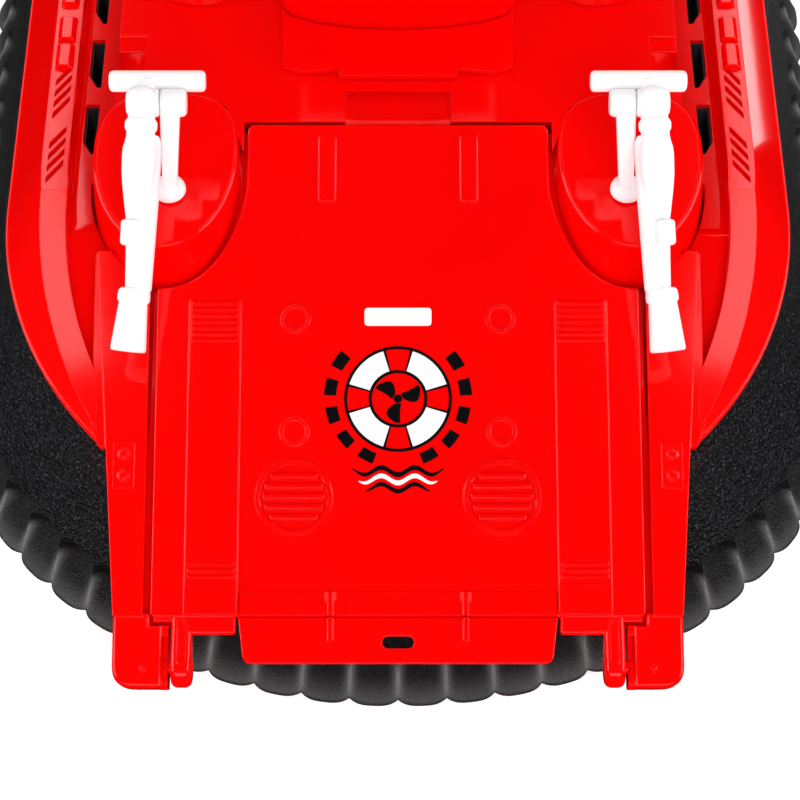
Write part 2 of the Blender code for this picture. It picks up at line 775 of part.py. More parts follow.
def pedestal_outline(side, inset=0.0):
    """Egg-shaped plan of a pedestal, pointed towards the bow; a negative inset grows it."""
    points = []
    half = PEDESTAL_HALF - inset
    for i in range(17):
        angle = math.pi * i / 16
        x = PEDESTAL_X + half * math.cos(angle)
        points.append((x, PEDESTAL_BOW_CENTRE - (PEDESTAL_BOW - inset) * math.sin(angle)))
    for i in range(9):
        angle = math.pi - math.pi * i / 8
        x = PEDESTAL_X + half * PEDESTAL_STERN[0] * math.cos(angle)
        points.append((x, PEDESTAL_BACK - PEDESTAL_STERN[1] + (PEDESTAL_STERN[1] - inset) * math.sin(angle)))
    if side < 0:
        points = [(-x, y) for x, y in reversed(points)]
    return points


def shoulder_room(side):
    """Cutter that opens the pedestal's pocket into the ramp bay, round the ramp's shoulder."""
    points = [(side * PEDESTAL_X, PEDESTAL_BOW_CENTRE)]
    for i in range(9):
        angle = math.pi * (0.5 + 0.5 * i / 8)
        x = PEDESTAL_X + (PEDESTAL_HALF + SHOULDER_GAP) * math.cos(angle)
        points.append((side * x, PEDESTAL_BOW_CENTRE - (PEDESTAL_BOW + SHOULDER_GAP) * math.sin(angle)))
    return prism(f"shoulder_{side}", points, PEDESTAL_FOOT - GAP, OVER, None, "cutters")


def pedestal_top(y):
    """Height of the pedestal's top, which tilts down towards the bow."""
    return PEDESTAL_TOP - GAP + (y - MONITOR_Y) * math.tan(PEDESTAL_TILT)


def build_pedestal():
    """Drafted egg-shaped pedestal for the +X water monitor."""
    foot = pedestal_outline(1)
    top = pedestal_outline(1, PEDESTAL_DRAFT)
    rings = [
        [(x, y, PEDESTAL_FOOT) for x, y in foot],
        [(x, y, PEDESTAL_WAIST) for x, y in foot],
        [(x, y, pedestal_top(y)) for x, y in top],
    ]
    pedestal = loft("pedestal_left", rings, red_plastic())
    smooth(pedestal, 40)
    return [pedestal, mirrored(pedestal, "pedestal_right")]


def build_hold_tub():
    """Hold floor and walls under the hull, with a sill that reaches over the skirt's bow."""
    wall = PLATE
    sill = [inner_wall(share, HOLD_FLOOR, SEAT) for share in np.linspace(0.0, 0.34, 8)]
    arc = [(-x, y) for x, y in sill[:0:-1]] + sill
    outline = arc + [(HOLD_HALF + wall, HOLD_BACK + wall), (-HOLD_HALF - wall, HOLD_BACK + wall)]
    tub = prism("hold_tub", outline, HOLD_FLOOR - wall, HOLD_FLOOR, red_plastic())
    low, high = HOLD_FLOOR - BITE, RIM_UNDER - GAP
    walls = [
        box("w1", (HOLD_HALF, TUB_BOW, low), (HOLD_HALF + wall, HOLD_BACK + wall, high), None),
        box("w2", (-HOLD_HALF - wall, TUB_BOW, low), (-HOLD_HALF, HOLD_BACK + wall, high), None),
        box("w3", (-HOLD_HALF - wall, HOLD_BACK, low), (HOLD_HALF + wall, HOLD_BACK + wall, high), None),
    ]
    join(tub, *walls)
    cut(tub, slope_slab("ramp_room", sorted_box(-OVER, OVER, -ABOVE, BEYOND), -ABOVE, RAMP_ROOM, None, "cutters"))
    return tub


def build_bottom_pan():
    """Black tray that closes the underside, with stiffening ribs up to the hold and the hull."""
    shares = [i / 10 for i in range(11)] + [2.0] + [2.0 + i / 6 for i in range(1, 7)] + [4.0]
    rings = [
        full_ring([(*inner_wall(share, z, SEAT), z) for share in shares])
        for z in (PAN_Z, PAN_Z + PLATE)
    ]
    pan = loft("bottom_pan", rings, black_plastic())
    posts = []
    foot = PAN_Z + PLATE / 2
    for x in (-POST_X, POST_X):
        for y in POST_PLACES:
            high = RIM_UNDER if y > HOLD_BACK else HOLD_FLOOR - PLATE
            posts.append(cylinder(f"post_{x}_{y}", (x, y, foot), (x, y, high - GAP), POST_RADIUS, None, sides=12))
    join(pan, *posts)
    return pan


def build_cheek():
    """Bow cheek beside the ramp, with the hinge ear at its foot."""
    inner = RAMP_FOOT_HALF + RAMP_GAP
    outline = [(inner, CHEEK_START), (CHEEK_HALF, CHEEK_START), (EAR_OUTER, RAMP_LENGTH), (inner, RAMP_LENGTH)]
    cheek = slope_slab("cheek_left", outline, 0.0, CHEEK_THICK, red_plastic())
    cut(cheek, prism("foot_room", pedestal_outline(1, -GAP), RIM_UNDER, OVER, None, "cutters"))
    plate = slope_slab("cheek_plate", sorted_box(*CHEEK_PLATE), -CHEEK_PLATE_RISE, BITE, None)
    join(cheek, plate)
    normal = Vector((0, -math.sin(SLOPE), math.cos(SLOPE)))
    foot_radius, top_radius, rise = CHEEK_BOLT
    for along in CHEEK_BOLT_ALONG:
        seat = Vector(slope_point(CHEEK_BOLT_X, along))
        join(cheek, cylinder("cheek_bolt", seat, seat + normal * rise, foot_radius, None, top_radius, 20))
    ear = cylinder("ear", (EAR_INNER, HINGE_Y, HINGE_Z), (EAR_OUTER, HINGE_Y, HINGE_Z), EAR_RADIUS, None, sides=28)
    foot = slope_point(0.0, RAMP_LENGTH - BITE)
    foot_low = slope_point(0.0, RAMP_LENGTH - BITE, NECK_THICK)
    neck_rings = []
    for x in (inner, EAR_OUTER):
        neck_rings.append([
            (x, foot[1], foot[2]),
            (x, foot_low[1], foot_low[2]),
            (x, HINGE_Y, HINGE_Z - EAR_RADIUS + SEAT),
            (x, HINGE_Y - BITE, HINGE_Z + EAR_RADIUS - PLATE / 2),
        ])
    neck = loft("neck", neck_rings, None)
    join(cheek, ear, neck)
    ends = (ARM_INNER - PIN_LAP, HINGE_Y, HINGE_Z), (EAR_INNER + BITE, HINGE_Y, HINGE_Z)
    pin = cylinder("pin", *ends, PIN_RADIUS, None, sides=20)
    join(cheek, pin)
    return [cheek, mirrored(cheek, "cheek_right")]


def build_ramp():
    """Bow ramp with raised tracks, vent rims and two hinge arms; its origin is on the hinge."""
    outline = ramp_outline()
    ramp = slope_slab("ramp", outline, 0.0, RAMP_THICK, red_plastic())
    for side in (-1, 1):
        place = sorted_box(side * TRACK_INNER, side * TRACK_OUTER, TRACK_START, RAMP_LENGTH - BLOCK_FOOT)
        track = slope_slab(f"track_{side}", place, -TRACK_RISE, BITE, None)
        place = sorted_box(side * PAD_INNER, side * PAD_OUTER, *PAD_ALONG)
        top_pad = slope_slab(f"top_pad_{side}", place, -PAD_RISE, BITE, None)
        place = sorted_box(side * FOOT_BAR_INNER, side * FOOT_BAR_OUTER, RAMP_LENGTH - BITE, FOOT_BAR_END)
        foot_bar = slope_slab(f"foot_bar_{side}", place, *FOOT_BAR_DROPS, None)
        rim = slope_ring(side * VENT_X, VENT_ALONG, VENT_OUTER, VENT_INNER, VENT_RISE)
        bolts = [slope_ring(side * VENT_X, along, BOLT_OUTER, BOLT_INNER, BOLT_RISE) for along in BOLT_ALONG]
        arm_low, arm_high = sorted((side * ARM_INNER, side * ARM_OUTER))
        arm = arm_solid(arm_low, arm_high)
        bore = cylinder(
            f"bore_{side}", (side * (ARM_INNER - ARM_RADIUS), HINGE_Y, HINGE_Z), (side * EAR_INNER, HINGE_Y, HINGE_Z),
            PIN_RADIUS + GAP, None, sides=20, group="cutters",
        )
        join(ramp, track, top_pad, foot_bar, rim, arm, *bolts, *vent_slats(side * VENT_X, VENT_ALONG))
        cut(ramp, bore)
    hinge_origin(ramp)
    return ramp


def sorted_box(near, far, start, end):
    """Outline of a rectangle on the slope."""
    low, high = sorted((near, far))
    return [(low, start), (high, start), (high, end), (low, end)]


def soft_corners(corners, reach, before, after, steps=4):
    """Corners rounded by quadratic curves that start a reach away from them, between two outer points."""
    points = []
    chain = [before, *corners, after]
    for ahead, corner, behind in zip(chain, chain[1:], chain[2:]):
        corner = Vector(corner)
        start = corner + (Vector(ahead) - corner).normalized() * reach
        end = corner + (Vector(behind) - corner).normalized() * reach
        for i in range(steps + 1):
            k = i / steps
            points.append(tuple(start * (1 - k) ** 2 + corner * 2 * k * (1 - k) + end * k ** 2))
    return points


def slope_ring(x, along, outer, inner, height):
    """Raised rim of a round vent or bolt on the slope."""
    normal = Vector((0, -math.sin(SLOPE), math.cos(SLOPE)))
    profile = [(outer, -BITE), (outer, height), (inner, height), (inner, -BITE)]
    return turned("ring", profile, slope_point(x, along), normal, None, 28, True)


def vent_slats(x, along):
    """Slats across a round vent on the slope."""
    slats = []
    for i in range(-2, 3):
        offset = i * VENT_SLAT_PITCH
        half = math.sqrt(VENT_INNER ** 2 - offset ** 2) + SEAT
        low, high = along + offset - VENT_SLAT / 2, along + offset + VENT_SLAT / 2
        slats.append(slope_slab(f"slat_{x}_{i}", sorted_box(x - half, x + half, low, high), -SEAT, BITE, None))
    return slats


def arm_solid(low, high):
    """Hinge arm: a flat link from the ramp's foot down to a round eye on the pin."""
    top = slope_point(0.0, RAMP_LENGTH - ARM_ROOT)
    under = slope_point(0.0, RAMP_LENGTH - ARM_ROOT, RAMP_THICK)
    eye = cylinder("eye", (low, HINGE_Y, HINGE_Z), (high, HINGE_Y, HINGE_Z), ARM_RADIUS, None, sides=28)
    rings = []
    for x in (low, high):
        rings.append([
            (x, top[1], top[2]),
            (x, under[1], under[2]),
            (x, HINGE_Y + BITE, HINGE_Z - ARM_RADIUS + GAP),
            (x, HINGE_Y - BITE, HINGE_Z + ARM_RADIUS - GAP),
        ])
    link = loft("link", rings, None)
    join(eye, link)
    return eye


def hinge_origin(item):
    """Set an object's origin on the ramp hinge."""
    set_origin(item, (0.0, HINGE_Y, HINGE_Z))


def set_origin(item, point):
    """Move an object's origin to a point and leave its mesh where it is."""
    shift = Vector(point)
    item.data.transform(Matrix.Translation(-shift))
    item.location = shift


def build_lip():
    """Tongue at the ramp's foot with its slot and two gussets."""
    start = RAMP_LENGTH + GAP
    root = [(-LIP_HALF, start), (LIP_HALF, start)]
    tip = [(LIP_HALF - LIP_DRAFT, LIP_END), (LIP_DRAFT - LIP_HALF, LIP_END)]
    outline = root + soft_corners(tip, LIP_CORNER, root[1], root[0])
    lip = slope_slab("ramp_lip", outline, 0.0, LIP_THICK, red_plastic())
    near, far = LIP_SLOT_ALONG
    slot_corners = sorted_box(-LIP_SLOT_HALF, LIP_SLOT_HALF, near, far)
    slot_outline = soft_corners(slot_corners, LIP_SLOT_CORNER, slot_corners[-1], slot_corners[0])
    slot = slope_slab("lip_slot", slot_outline, -BAY_DEPTH, BAY_DEPTH, None, "cutters")
    cut(lip, slot)
    for side in (-1, 1):
        gusset = slope_slab(
            f"gusset_{side}", sorted_box(side * GUSSET_INNER, side * GUSSET_OUTER, start, GUSSET_END),
            -GUSSET_HEIGHT, LIP_THICK / 2, None,
        )
        join(lip, gusset)
    hinge_origin(lip)
    return lip


def build_monitor():
    """Water monitor on the +X side: turntable, arm and drooping barrel."""
    foot_radius, top_radius, rise = TURNTABLE
    ends = (MONITOR_X, MONITOR_Y, PEDESTAL_TOP + GAP), (MONITOR_X, MONITOR_Y, PEDESTAL_TOP + rise)
    base = cylinder("monitor_turret_left", *ends, foot_radius, white_plastic(), top_radius, 28)
    arm = tilted_bar(
        (MONITOR_X, MONITOR_Y, PEDESTAL_TOP + BITE), (MONITOR_X - RISER_LEAN, PIVOT_Y, PIVOT_Z), *RISER_HALF
    )
    boss = cylinder(
        "boss", (MONITOR_X - BOSS_INNER, PIVOT_Y, PIVOT_Z), (MONITOR_X + BOSS_OUTER, PIVOT_Y, PIVOT_Z),
        BOSS_RADIUS, None, sides=24,
    )
    join(base, arm, boss)
    set_origin(base, (MONITOR_X, MONITOR_Y, PEDESTAL_TOP))
    barrel = build_barrel()
    twin_base = mirrored(base, "monitor_turret_right")
    set_origin(base, (MONITOR_X, MONITOR_Y, PEDESTAL_TOP))
    set_origin(twin_base, (-MONITOR_X, MONITOR_Y, PEDESTAL_TOP))
    twin_barrel = mirrored(barrel, "monitor_barrel_right")
    set_origin(barrel, (BARREL_X, PIVOT_Y, PIVOT_Z))
    set_origin(twin_barrel, (-BARREL_X, PIVOT_Y, PIVOT_Z))
    return [base, twin_base, barrel, twin_barrel]


def tilted_bar(start, end, half_x, half_y):
    """A four-sided bar between two points."""
    rings = []
    for x, y, z in (start, end):
        rings.append([
            (x - half_x, y - half_y, z), (x + half_x, y - half_y, z),
            (x + half_x, y + half_y, z), (x - half_x, y + half_y, z),
        ])
    return loft("bar", rings, None)


def barrel_point(along, lift=0.0, across=0.0):
    """A point of the drooping barrel: along its axis from the pivot, above it and across."""
    forward = Vector((
        math.sin(BARREL_SPLAY) * math.cos(BARREL_DROOP),
        -math.cos(BARREL_SPLAY) * math.cos(BARREL_DROOP),
        -math.sin(BARREL_DROOP),
    ))
    side = Vector((math.cos(BARREL_SPLAY), math.sin(BARREL_SPLAY), 0.0))
    up = side.cross(forward)
    if up.z < 0:
        up = -up
    return Vector((BARREL_X, PIVOT_Y, PIVOT_Z)) + forward * along + up * lift + side * across


def build_barrel():
    """Drooping barrel with collar, flared nozzle and cross handle."""
    barrel = None
    for start, end, first, last in BARREL_STRETCHES:
        piece = cylinder("monitor_barrel_left", barrel_point(start), barrel_point(end), first, None, last, 20)
        if barrel is None:
            barrel = piece
            barrel.data.materials.append(white_plastic())
        else:
            join(barrel, piece)
    first, last, tip = LEVER_RADII
    near, far = LEVER_END
    ends = barrel_point(*LEVER_START), barrel_point(near + BITE, LEVER_LIFT)
    lever = cylinder("lever", *ends, first, None, last, 16)
    weight = cylinder(
        "lever_end", barrel_point(near, LEVER_LIFT, LEVER_SHIFT), barrel_point(far, LEVER_LIFT, LEVER_SHIFT),
        tip, None, tip, 20,
    )
    join(barrel, lever, weight)
    centre = barrel_point(*HANDLE_SEAT)
    inner, outer = HANDLE_REACH
    handle = cylinder(
        "handle", centre - Vector((inner, 0, 0)), centre + Vector((outer, 0, 0)), HANDLE_RADIUS, None, sides=20
    )
    stalk = cylinder("stalk", barrel_point(*HANDLE_SEAT), barrel_point(0.0), STALK_RADIUS, None, sides=16)
    trunnion = cylinder(
        "trunnion", (MONITOR_X + BOSS_OUTER + GAP, PIVOT_Y, PIVOT_Z), (BARREL_X, PIVOT_Y, PIVOT_Z),
        TRUNNION_RADIUS, None, sides=20,
    )
    join(barrel, stalk, handle, trunnion)
    return barrel


def house_front(ahead=0.0):
    """Plan of the deckhouse's bowed front, from the -X corner to the +X one."""
    points = []
    for i in range(9):
        angle = -math.pi / 2 + math.pi * i / 8
        x = HOUSE_HALF * math.sin(angle)
        points.append((x, HOUSE_FRONT + HOUSE_BOW * (1 - math.cos(angle)) - ahead))
    return points


def build_house():
    """Hollow deckhouse with a rounded front, a sill round its roof, doors and side lockers."""
    outline = house_front() + [(HOUSE_HALF, HOUSE_BACK), (-HOUSE_HALF, HOUSE_BACK)]
    house = prism("deckhouse", outline, DECK_Z + GAP, HOUSE_TOP, red_plastic())
    core = cutter_box(
        (-HOUSE_HALF + PLATE, HOUSE_FRONT + 0.011, 0.0), (HOUSE_HALF - PLATE, HOUSE_BACK - PLATE, HOUSE_TOP - PLATE)
    )
    cut(house, core)
    for side in (-1, 1):
        face = side * HOUSE_HALF
        low, high = sorted((face - side * SEAT, face + side * DOOR_STEP))
        bottom, top = DECK_Z + DOOR_LEVELS[0], HOUSE_TOP - DOOR_LEVELS[1]
        for start in DOOR_STARTS:
            join(house, box("door", (low, start, bottom), (high, start + DOOR_LENGTH, top), None))
        low, high = sorted((face - side * SEAT, face + side))
        bottom, top = DECK_Z + PORT_LEVELS[0], HOUSE_TOP - PORT_LEVELS[1]
        for start in PORT_STARTS:
            cut(house, cutter_box((low, start, bottom), (high, start + PORT_LENGTH, top)))
    return house


def build_bridge():
    """Wheelhouse on the deckhouse: walls with windows cut, dark glazing behind them, roof."""
    base = HOUSE_TOP + GAP
    walls = box("bridge", (-BRIDGE_HALF, BRIDGE_FRONT, base), (BRIDGE_HALF, BRIDGE_BACK, BRIDGE_TOP), red_plastic())
    hollow = box(
        "bridge_core", (-BRIDGE_HALF + PLATE, BRIDGE_FRONT + PLATE, base - 0.01),
        (BRIDGE_HALF - PLATE, BRIDGE_BACK - PLATE, BRIDGE_TOP + 0.01), None, "cutters",
    )
    cut(walls, hollow)
    low, high = base + WINDOW_LEVELS[0], BRIDGE_TOP - WINDOW_LEVELS[1]
    for i in range(WINDOW_TOTAL):
        x = (i - WINDOW_TOTAL // 2) * FRONT_WINDOW_PITCH
        y = BRIDGE_FRONT + SIDE_WINDOW_FIRST + i * SIDE_WINDOW_PITCH
        cut(walls, cutter_box((x - FRONT_WINDOW_HALF, -BEYOND, low), (x + FRONT_WINDOW_HALF, BEYOND, high)))
        cut(walls, cutter_box((-BEYOND, y - SIDE_WINDOW_HALF, low), (BEYOND, y + SIDE_WINDOW_HALF, high)))
    inset = PLATE + GAP
    glazing = box(
        "bridge_glazing", (-BRIDGE_HALF + inset, BRIDGE_FRONT + inset, base),
        (BRIDGE_HALF - inset, BRIDGE_BACK - inset, BRIDGE_TOP - BITE), dark_glazing(),
    )
    inner = inset + GLAZING_WALL
    cut(glazing, box(
        "glazing_core", (-BRIDGE_HALF + inner, BRIDGE_FRONT + inner, base - 0.01),
        (BRIDGE_HALF - inner, BRIDGE_BACK - inner, BRIDGE_TOP + 0.01), None, "cutters",
    ))
    roof = box(
        "bridge_roof", (-BRIDGE_HALF - ROOF_LAP, BRIDGE_FRONT - ROOF_LAP - BITE, BRIDGE_TOP + GAP),
        (BRIDGE_HALF + ROOF_LAP, BRIDGE_BACK + ROOF_LAP, ROOF_TOP), white_plastic(),
    )
    return [walls, glazing, roof]


def build_searchlights():
    """Pair of searchlights on brackets at the front of the bridge roof."""
    y = BRIDGE_FRONT + 0.0060
    made = []
    for side, word in ((1, "left"), (-1, "right")):
        x = side * LAMP_X
        lamp = cylinder(
            f"searchlight_{word}", (x, y, ROOF_TOP + GAP), (x, y, ROOF_TOP + LAMP_POST_RISE), LAMP_POST_RADIUS,
            white_plastic(), sides=16,
        )
        join(lamp, turned("lamp", LAMP_PROFILE, (x, y - 0.0035, ROOF_TOP + LAMP_RISE), (0, 1, 0), None, 24))
        made.append(lamp)
    return made


def build_mast():
    """Mast on the roof and the radar bar that turns on it."""
    foot_radius, top_radius = MAST_RADII
    radar_foot = MAST_TOP - RADAR_FOOT
    ends = (0, MAST_Y, ROOF_TOP + GAP), (0, MAST_Y, radar_foot)
    mast = cylinder("mast", *ends, foot_radius, white_plastic(), top_radius, 20)
    reach, half, low, high = YARD
    join(mast, box("yard", (-reach, MAST_Y - half, low), (reach, MAST_Y + half, high), None))
    reach, half, depth = RADAR_BAR
    ends = (0, MAST_Y, radar_foot + GAP), (0, MAST_Y, MAST_TOP - depth / 2)
    radar = cylinder("radar", *ends, RADAR_RADIUS, white_plastic(), sides=20)
    join(radar, box("radar_bar", (-reach, MAST_Y - half, MAST_TOP - depth), (reach, MAST_Y + half, MAST_TOP), None))
    set_origin(radar, (0, MAST_Y, MAST_TOP))
    return [mast, radar]


def build_duct(name, across):
    """One propulsion unit, made on the craft's centre plane and then moved across to its place."""
    made = [duct_solid(name), build_propeller(name), build_rudders(name)]
    for item in made:
        item.location.x += across
    return made


def duct_solid(name):
    """Propeller duct with its foot, stays, pod and shaft."""
    depth = DUCT_BACK - DUCT_FRONT
    profile = [(DUCT_RADIUS - way, ahead) for way, ahead in DUCT_LIP]
    profile += [(DUCT_RADIUS, depth * 0.45), (DUCT_RADIUS - DUCT_TAPER, depth), (DUCT_RADIUS - DUCT_WALL, depth)]
    duct = turned(f"duct_{name}", profile, (0, DUCT_FRONT, DUCT_Z), (0, 1, 0), red_plastic(), 40, True)
    ahead, behind = DUCT_FOOT_INSETS
    foot = box(
        "duct_foot", (-DUCT_FOOT_HALF, DUCT_FRONT + ahead, DECK_Z + GAP),
        (DUCT_FOOT_HALF, DUCT_BACK - behind, DUCT_Z - DUCT_RADIUS + DUCT_WALL - GAP / 2), None,
    )
    inner = DUCT_RADIUS - DUCT_WALL / 2
    middle = Vector((0, PROPELLER_Y + STAY_BEHIND, DUCT_Z))
    stays = []
    for turn in (math.pi / 4, -math.pi / 4):
        reach = Vector((inner * math.cos(turn), 0.0, inner * math.sin(turn)))
        stays.append(cylinder("stay", middle - reach, middle + reach, STAY_RADIUS, None, sides=12))
    front, back = POD_RADII
    ends = (0, PROPELLER_Y + POD_AHEAD, DUCT_Z), (0, DUCT_BACK - BITE, DUCT_Z)
    pod = cylinder("pod", *ends, front, None, back, 24)
    ends = (0, PROPELLER_Y - SHAFT_HALF, DUCT_Z), (0, PROPELLER_Y + SHAFT_HALF, DUCT_Z)
    shaft = cylinder("shaft", *ends, SHAFT_RADIUS, None, sides=16)
    join(duct, foot, pod, shaft, *stays)
    return duct


def build_propeller(name):
    """Five-bladed propeller on the duct's shaft."""
    start, end = PROPELLER_Y - HUB_AHEAD, PROPELLER_Y + HUB_BEHIND
    hub = cylinder(f"propeller_{name}", (0, start, DUCT_Z), (0, end, DUCT_Z), HUB_RADIUS, white_plastic())
    nose = cylinder("nose", (0, start - NOSE_LENGTH, DUCT_Z), (0, start + GAP, DUCT_Z), NOSE_RADIUS, None, HUB_RADIUS)
    join(hub, nose)
    for i in range(BLADE_TOTAL):
        hub_blade(hub, 2 * math.pi * i / BLADE_TOTAL + math.pi / 2)
    bore = cylinder(
        "hub_bore", (0, PROPELLER_Y - SHAFT_HALF - SEAT, DUCT_Z), (0, DUCT_BACK, DUCT_Z), SHAFT_RADIUS + GAP, None,
        sides=16, group="cutters",
    )
    cut(hub, bore)
    set_origin(hub, (0, PROPELLER_Y, DUCT_Z))
    return hub


def hub_blade(hub, spin):
    """Join one twisted blade to the hub."""
    outward = Vector((math.cos(spin), 0.0, math.sin(spin)))
    around = Vector((-math.sin(spin), 0.0, math.cos(spin)))
    aft = Vector((0, 1, 0))
    centre = Vector((0, PROPELLER_Y, DUCT_Z))
    rings = []
    for radius, half_chord, half_thick, pitch in BLADE_STATIONS:
        chord = around * math.cos(pitch) + aft * math.sin(pitch)
        thick = aft * math.cos(pitch) - around * math.sin(pitch)
        middle = centre + outward * radius
        rings.append([
            middle + chord * half_chord, middle + thick * half_thick,
            middle - chord * half_chord, middle - thick * half_thick,
        ])
    join(hub, loft("blade", rings, None))


def build_rudders(name):
    """Two fixed rudder vanes joined by cross bars behind the duct."""
    start = DUCT_BACK + GAP
    half = RUDDER_HEIGHT / 2
    rudders = None
    for side in (-1, 1):
        middle = side * RUDDER_SPACING / 2
        low = (middle - RUDDER_HALF, start, DUCT_Z - half)
        high = (middle + RUDDER_HALF, start + RUDDER_CHORD, DUCT_Z + half)
        if rudders is None:
            rudders = box(f"rudders_{name}", low, high, red_plastic())
        else:
            join(rudders, box("vane", low, high, None))
    reach = RUDDER_SPACING / 2 + TIE_LAP
    for z in (DUCT_Z - half, DUCT_Z + half - TIE_HEIGHT):
        join(rudders, box("tie", (-reach, start, z), (reach, start + TIE_LENGTH, z + TIE_HEIGHT), None))
    return rudders


def build_intakes():
    """Round lift-fan intakes on the deck, two a side."""
    made = []
    foot_radius, top_radius = INTAKE_RADII
    for side, word in ((1, "left"), (-1, "right")):
        x = side * INTAKE_X
        for y, place in INTAKE_PLACES:
            disc = cylinder(
                f"intake_{place}_{word}", (x, y, DECK_Z + GAP), (x, y, DECK_Z + INTAKE_RISE), foot_radius,
                red_plastic(), top_radius, 40,
            )
            ends = (x, y, DECK_Z + PLATE), (x, y, OVER)
            well = cylinder("well", *ends, INTAKE_WELL, None, sides=40, group="cutters")
            cut(disc, well)
            join(disc, *intake_bars(x, y))
            made.append(disc)
    return made


def intake_bars(x, y):
    """Bars across a round intake, each as long as the well is wide there."""
    bars = []
    low, high = (DECK_Z + level for level in INTAKE_BAR_LEVELS)
    radius = INTAKE_WELL + GAP
    for i in range(-2, 3):
        offset = i * INTAKE_BAR_PITCH
        reach = math.sqrt(radius ** 2 - offset ** 2)
        near, far = y + offset - INTAKE_BAR_HALF, y + offset + INTAKE_BAR_HALF
        bars.append(box("bar", (x - reach, near, low), (x + reach, far, high), None))
    return bars


def build_front_panel():
    """Raised panel on the deck ahead of the deckhouse."""
    outline = [(-x, y) for x, y in reversed(PANEL_FRONT)] + list(PANEL_FRONT)
    outline = outline + house_front(2 * GAP)[::-1]
    return prism("front_panel", outline, DECK_Z + GAP, DECK_Z + PANEL_RISE, red_plastic())


def build_all():
    clear_scene()
    build_skirt()
    hull_shell()
    build_hold_tub()
    build_bottom_pan()
    build_pedestal()
    build_cheek()
    build_ramp()
    build_lip()
    build_monitor()
    build_front_panel()
    build_house()
    build_bridge()
    build_mast()
    build_searchlights()
    build_intakes()
    for name, x in (("left", DUCT_SPACING), ("middle", 0.0), ("right", -DUCT_SPACING)):
        build_duct(name, x)


build_all()
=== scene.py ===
"""Looks of the toy rescue hovercraft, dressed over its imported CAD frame.

Metres, +Z up. The bow points along -Y and +X is the craft's own port side, named left here.
New pieces are surfaces worked out with numpy. A CAD node whose shape is right is shown by a copy
of its mesh with the doubles merged, so that its curved walls shade smoothly. Profiles of turned
shapes and blocks on the bow slope are written in millimetres.
"""
import json
import logging
import math
from dataclasses import dataclass, field
from enum import Enum
from typing import Callable, NamedTuple, Optional, Sequence, Union

import bmesh
import bpy
import numpy as np
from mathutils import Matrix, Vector

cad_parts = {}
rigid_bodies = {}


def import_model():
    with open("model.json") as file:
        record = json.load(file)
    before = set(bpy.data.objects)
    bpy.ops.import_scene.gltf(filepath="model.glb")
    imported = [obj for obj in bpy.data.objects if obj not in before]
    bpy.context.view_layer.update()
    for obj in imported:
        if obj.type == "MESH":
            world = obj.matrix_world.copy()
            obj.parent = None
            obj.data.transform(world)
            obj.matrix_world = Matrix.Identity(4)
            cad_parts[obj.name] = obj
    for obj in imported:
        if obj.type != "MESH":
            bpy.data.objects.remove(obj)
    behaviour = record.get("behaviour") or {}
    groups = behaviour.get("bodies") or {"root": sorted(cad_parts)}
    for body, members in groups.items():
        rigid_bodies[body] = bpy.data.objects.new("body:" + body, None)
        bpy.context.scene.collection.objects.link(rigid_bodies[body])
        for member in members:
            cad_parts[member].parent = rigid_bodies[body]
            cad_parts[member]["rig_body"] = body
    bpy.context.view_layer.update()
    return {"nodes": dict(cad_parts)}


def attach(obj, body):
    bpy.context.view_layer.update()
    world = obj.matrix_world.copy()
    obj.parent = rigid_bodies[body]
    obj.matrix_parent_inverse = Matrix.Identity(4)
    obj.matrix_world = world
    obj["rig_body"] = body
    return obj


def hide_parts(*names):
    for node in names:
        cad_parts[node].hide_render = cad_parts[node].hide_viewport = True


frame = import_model()
LOG = logging.getLogger("hovercraft")
MM = 0.001

Array = np.ndarray
Place = Callable[[Array], Array]
Pair = tuple[float, float]
Triple = tuple[float, float, float]
Row = tuple[float, ...]
Profile = tuple[Pair, ...]
Value = Union["Socket", float, Sequence[float]]


class Side(Enum):
    """Sides of the craft, with the sign of X on each."""

    LEFT = 1
    RIGHT = -1

    @property
    def word(self) -> str:
        """The side's name as it stands in the nodes' names."""
        return self.name.lower()


# Shader toolkit.


class Socket:
    """An output of a shader node that takes part in Python arithmetic."""

    def __init__(self, maker: "Shader", output: bpy.types.NodeSocket) -> None:
        """Keep the shader and the node's output."""
        self.maker = maker
        self.output = output

    def maths(self, operation: str, first: Value, second: Value) -> "Socket":
        """Join two values with a Math node."""
        return self.maker.node("ShaderNodeMath", {"operation": operation}, {0: first, 1: second})

    def __add__(self, other: Value) -> "Socket":
        """Sum, whichever side the socket is on."""
        return self.maths("ADD", self, other)

    def __sub__(self, other: Value) -> "Socket":
        """Difference."""
        return self.maths("SUBTRACT", self, other)

    def __rsub__(self, other: Value) -> "Socket":
        """Difference from a number on the left."""
        return self.maths("SUBTRACT", other, self)

    def __mul__(self, other: Value) -> "Socket":
        """Product, whichever side the socket is on."""
        return self.maths("MULTIPLY", self, other)

    __radd__ = __add__
    __rmul__ = __mul__

    def between(self, low: float, high: float) -> "Socket":
        """Rise smoothly from 0 at a low value to 1 at a high one."""
        sockets = {"Value": self, "From Min": low, "From Max": high}
        return self.maker.node("ShaderNodeMapRange", {"interpolation_type": "SMOOTHSTEP"}, sockets)


